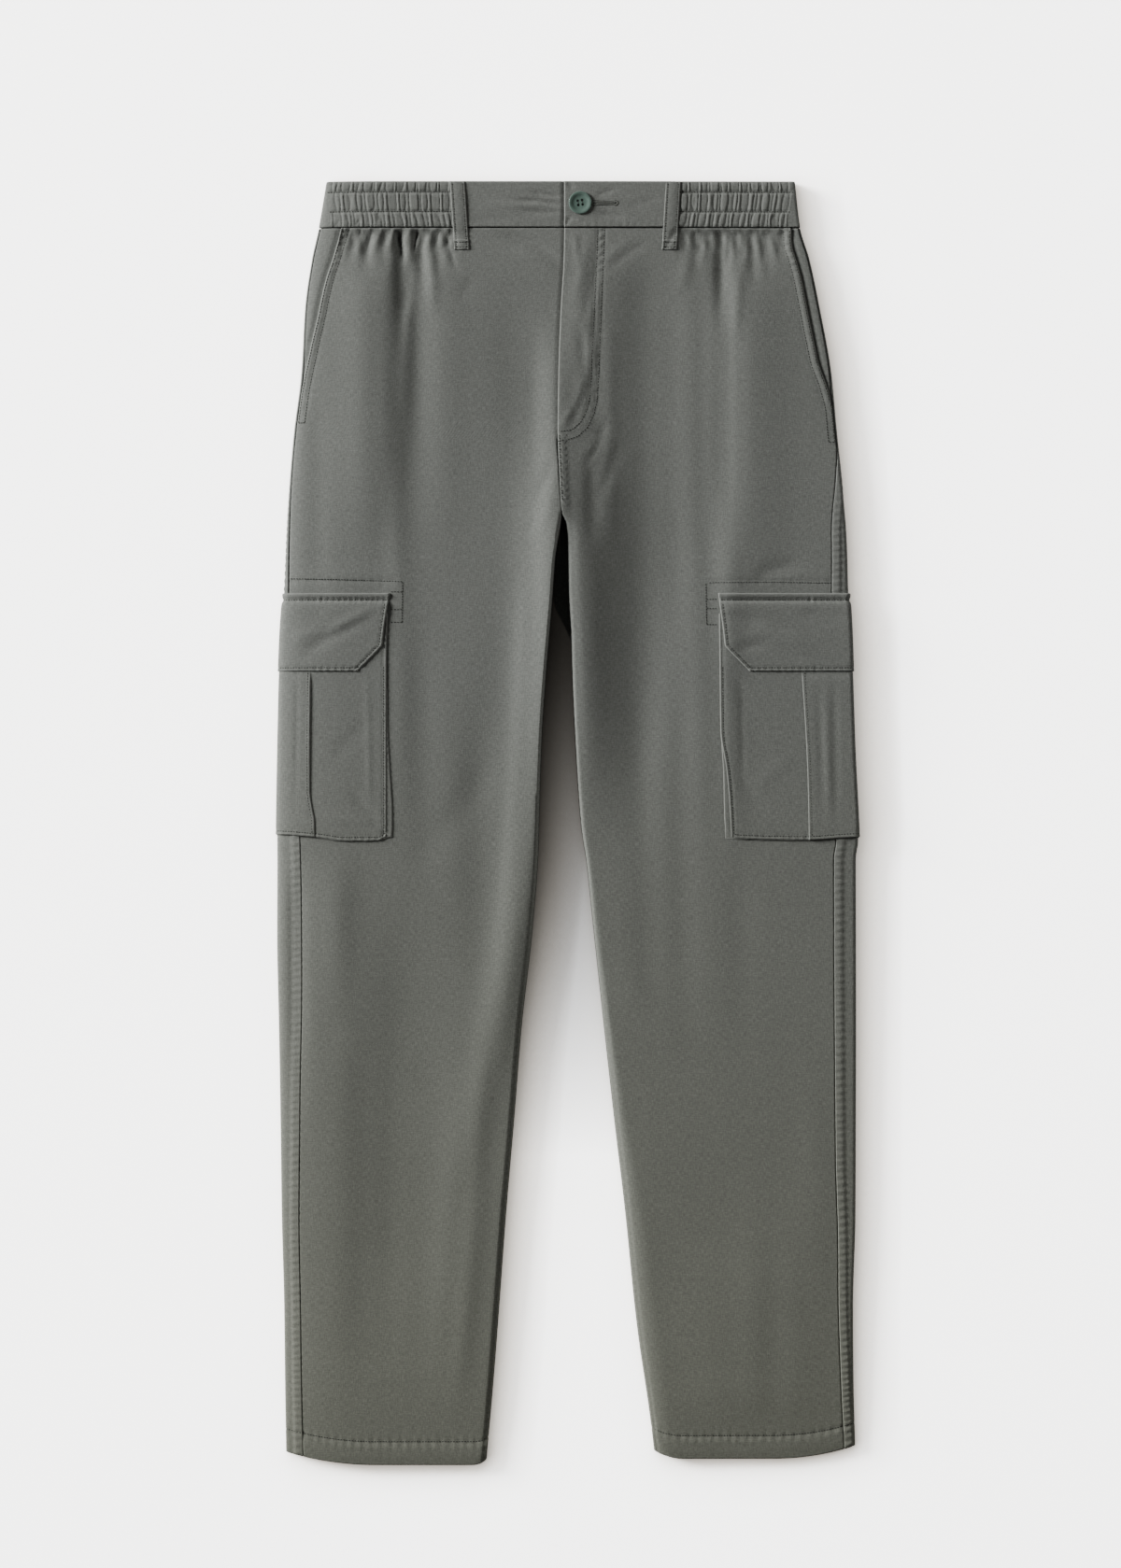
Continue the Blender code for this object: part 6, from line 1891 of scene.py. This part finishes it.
# %% Button thread
def button_thread():
    """Bars between neighbouring holes, as short rows."""
    rows = []
    middle = BUTTON_MIDDLE / MM
    angle = math.radians(90 + BUTTON_TURN)
    along = np.array([math.cos(angle), math.sin(angle)])
    aside = np.array([math.sin(angle), -math.cos(angle)])
    for side in (-1.0, 1.0):
        ends = np.array([-1.0, 1.0])[:, None] * along * HOLE_SPREAD + side * HOLE_SPREAD * aside
        places = np.concatenate([ends, np.zeros((2, 1))], axis=1) + middle
        places = places + np.array([0.0, 0.0, DISH_HEIGHT - 0.1])
        rows.append((places, np.broadcast_to(np.array([0.0, 0.0, 1.0]), places.shape)))
    return sew("button_thread", rows, (3.2, 0.35, 0.4), 6.0)


# %% The buttonhole
HOLE_LINE = (19.5, 37.2, 18.3)   # across of the slit's ends and how far down it lies
EYELET = 1.2


def satin_stitches():
    """Short bars square to the slit on both sides, and fanned round the eyelet."""
    rows = []
    start, end, down = HOLE_LINE
    for across in np.arange(start, end, 0.62):
        wide = mix(1.9, 1.2, (across - start) / (end - start))
        for side in (-1.0, 1.0):
            rows.append(bar_on_band(across, down + side * 0.25, across, down + side * wide))
    for angle in np.linspace(-2.6, 2.6, 22):
        direction = np.array([math.cos(angle), math.sin(angle)])
        near = np.array([end + 1.2, down]) + direction * 0.7
        far = np.array([end + 1.2, down]) + direction * (0.7 + EYELET)
        rows.append(bar_on_band(*near, *far))
    for beside in np.linspace(-1.6, 1.6, 6):
        rows.append(bar_on_band(start - 0.9, down + beside, start - 0.1, down + beside))
    return sew("buttonhole_stitches", rows, (1.3, 0.62, 0.35), 9.0, SATIN_MATERIAL)


def buttonhole_cord():
    """The cord round the stitches, dark with the thread's painted shade, from the narrow end along both
    sides and round the eyelet.
    """
    start, end, down = HOLE_LINE
    turn = np.linspace(2.5, -2.5, 24)
    round_across, round_down = end + 1.2 + 2.1 * np.cos(turn), down + 2.1 * np.sin(turn)
    across = np.concatenate([[start], round_across, [start]])
    beside = np.concatenate([[down + 2.2], round_down, [down - 2.2]])
    row = row_on(LEFT, band_front_out, beside, LEFT.inset(beside, across))
    return sew("buttonhole_cord", [row], (1.2, 0.6, 0.25), 0.9)


def bar_on_band(x0, down0, x1, down1):
    across = np.array([x0, x1])
    down = np.array([down0, down1])
    return row_on(LEFT, band_front_out, down, LEFT.inset(down, across))


def make_painted_slit_shade():
    """A dark sheet of painted shade over the opening between the satin stitches."""
    start, end, down_middle = HOLE_LINE
    x = np.linspace(start - 0.1, end + 2.0, 40)[None, :]
    round_end = np.sqrt(np.clip(0.8 ** 2 - (x - end - 1.2) ** 2, 0.0, None))
    half = np.maximum(0.14 * smooth((x - start + 0.4) / 1.5) * (x < end + 1.0), round_end) + 0.02
    down = down_middle + half * np.linspace(-1.0, 1.0, 7)[:, None]
    across = np.broadcast_to(x, down.shape)
    inset = LEFT.inset(down, across)
    places, outward = on_leg(LEFT, down, inset, band_front_out(LEFT, down, inset) + 0.1)
    slit = shell("buttonhole_slit_painted_shade", places, outward, np.zeros_like(down), 0.3, PAINTED_SHADE_MATERIAL)
    print(slit.name, "polygons:", len(slit.data.polygons))


# %% The painted shade behind the button's holes, and make them all
def make_painted_hole_shade():
    """A dark disc of painted shade under the button, seen through its holes."""
    place = (BUTTON_MIDDLE[0], BUTTON_MIDDLE[1], BUTTON_MIDDLE[2] + (DISH_HEIGHT - 0.75) * MM)
    bpy.ops.object.select_all(action="DESELECT")
    bpy.ops.mesh.primitive_cylinder_add(vertices=32, radius=3.9 * MM, depth=0.4 * MM, location=place)
    shank = bpy.context.active_object
    shank.name = "button_hole_painted_shade"
    shank.data.name = "button_hole_painted_shade"
    bpy.ops.object.transform_apply(location=True, rotation=True, scale=True)
    shank.data.materials.append(PAINTED_SHADE_MATERIAL)
    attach(shank, "root")
    return shank


# painted shade: the cloth's material at 0.12 of its tone, for the buttonhole slit and behind the button's
# holes
PAINTED_SHADE_MATERIAL = cloth_material("cloth with painted shade", 0.12)
make_painted_hole_shade()
button_thread()
satin_stitches()
buttonhole_cord()
make_painted_slit_shade()

# %% [markdown]
# ## The cloth's flat sizes
# Every piece of cloth was cut flat before it was sewn. A table lists each piece's flat size, how it is
# held, what it lies on and what is sewn on it, and each piece's measured area is printed beside its flat
# one.

# %% Flat sizes
def cloth_area(piece):
    """Half the surface of a closed shell, in square metres."""
    return sum(face.area for face in piece.data.polygons) / 2


BUTTONHOLE = ["buttonhole_stitches", "buttonhole_cord", "buttonhole_slit_painted_shade"]
# width, length and area in metres, how it is held, what it lies on, and the names of what is sewn on it
SHEETS = {
    fronts["right"]: (0.245, 1.02, 0.205, "laid", "back_panel_right", ["stitches_front_right"]),
    fronts["left"]: (0.245, 1.02, 0.206, "laid", "back_panel_left", ["stitches_front_left"]),
    backs["right"]: (0.262, 1.02, 0.224, "laid", "pocket_flap_right", ["stitches_back_right"]),
    backs["left"]: (0.272, 1.02, 0.234, "laid", "pocket_flap_left", ["stitches_back_left"]),
    facings["right"]: (0.045, 0.145, 0.0031, "laid", "back_panel_right", []),
    facings["left"]: (0.045, 0.152, 0.0031, "laid", "back_panel_left", []),
    band_fronts["right"]: (0.038, 0.126, 0.0047, "laid", "front_panel_right", []),
    band_fronts["left"]: (0.038, 0.091, 0.0034, "laid", "band_front_right", BUTTONHOLE),
    band_sides["right"]: (0.038, 0.28, 0.0106, "gathered", "band_front_right", ["stitches_elastic_right"]),
    band_sides["left"]: (0.038, 0.26, 0.0098, "gathered", "band_front_left", ["stitches_elastic_left"]),
    band_back: (0.038, 0.175, 0.0066, "laid", "loop_back_right", []),
    loops["right"]: (0.012, 0.057, 0.00068, "laid", "band_front_right", ["stitches_loop_right"]),
    loops["left"]: (0.012, 0.057, 0.00068, "laid", "band_front_left", ["stitches_loop_left"]),
    back_loops["right"]: (0.012, 0.057, 0.00068, "laid", "band_back", []),
    back_loops["left"]: (0.012, 0.057, 0.00068, "laid", "band_back", []),
    bags["right"]: (0.187, 0.186, 0.0345, "laid", "front_panel_right", ["stitches_bag_right"]),
    bags["left"]: (0.189, 0.186, 0.0350, "laid", "front_panel_left", ["stitches_bag_left"]),
    gussets["right"]: (0.014, 0.55, 0.0077, "folded", "front_panel_right", []),
    gussets["left"]: (0.014, 0.55, 0.0077, "folded", "front_panel_left", []),
    flaps["right"]: (0.187, 0.065, 0.0117, "laid", "pocket_bag_right", ["stitches_flap_right"]),
    flaps["left"]: (0.190, 0.065, 0.0120, "laid", "pocket_bag_left", ["stitches_flap_left"]),
}
for piece, (width, length, area, held, lies_on, sewn) in SHEETS.items():
    print(piece.name, "measured", round(cloth_area(piece), 5), "flat", area)
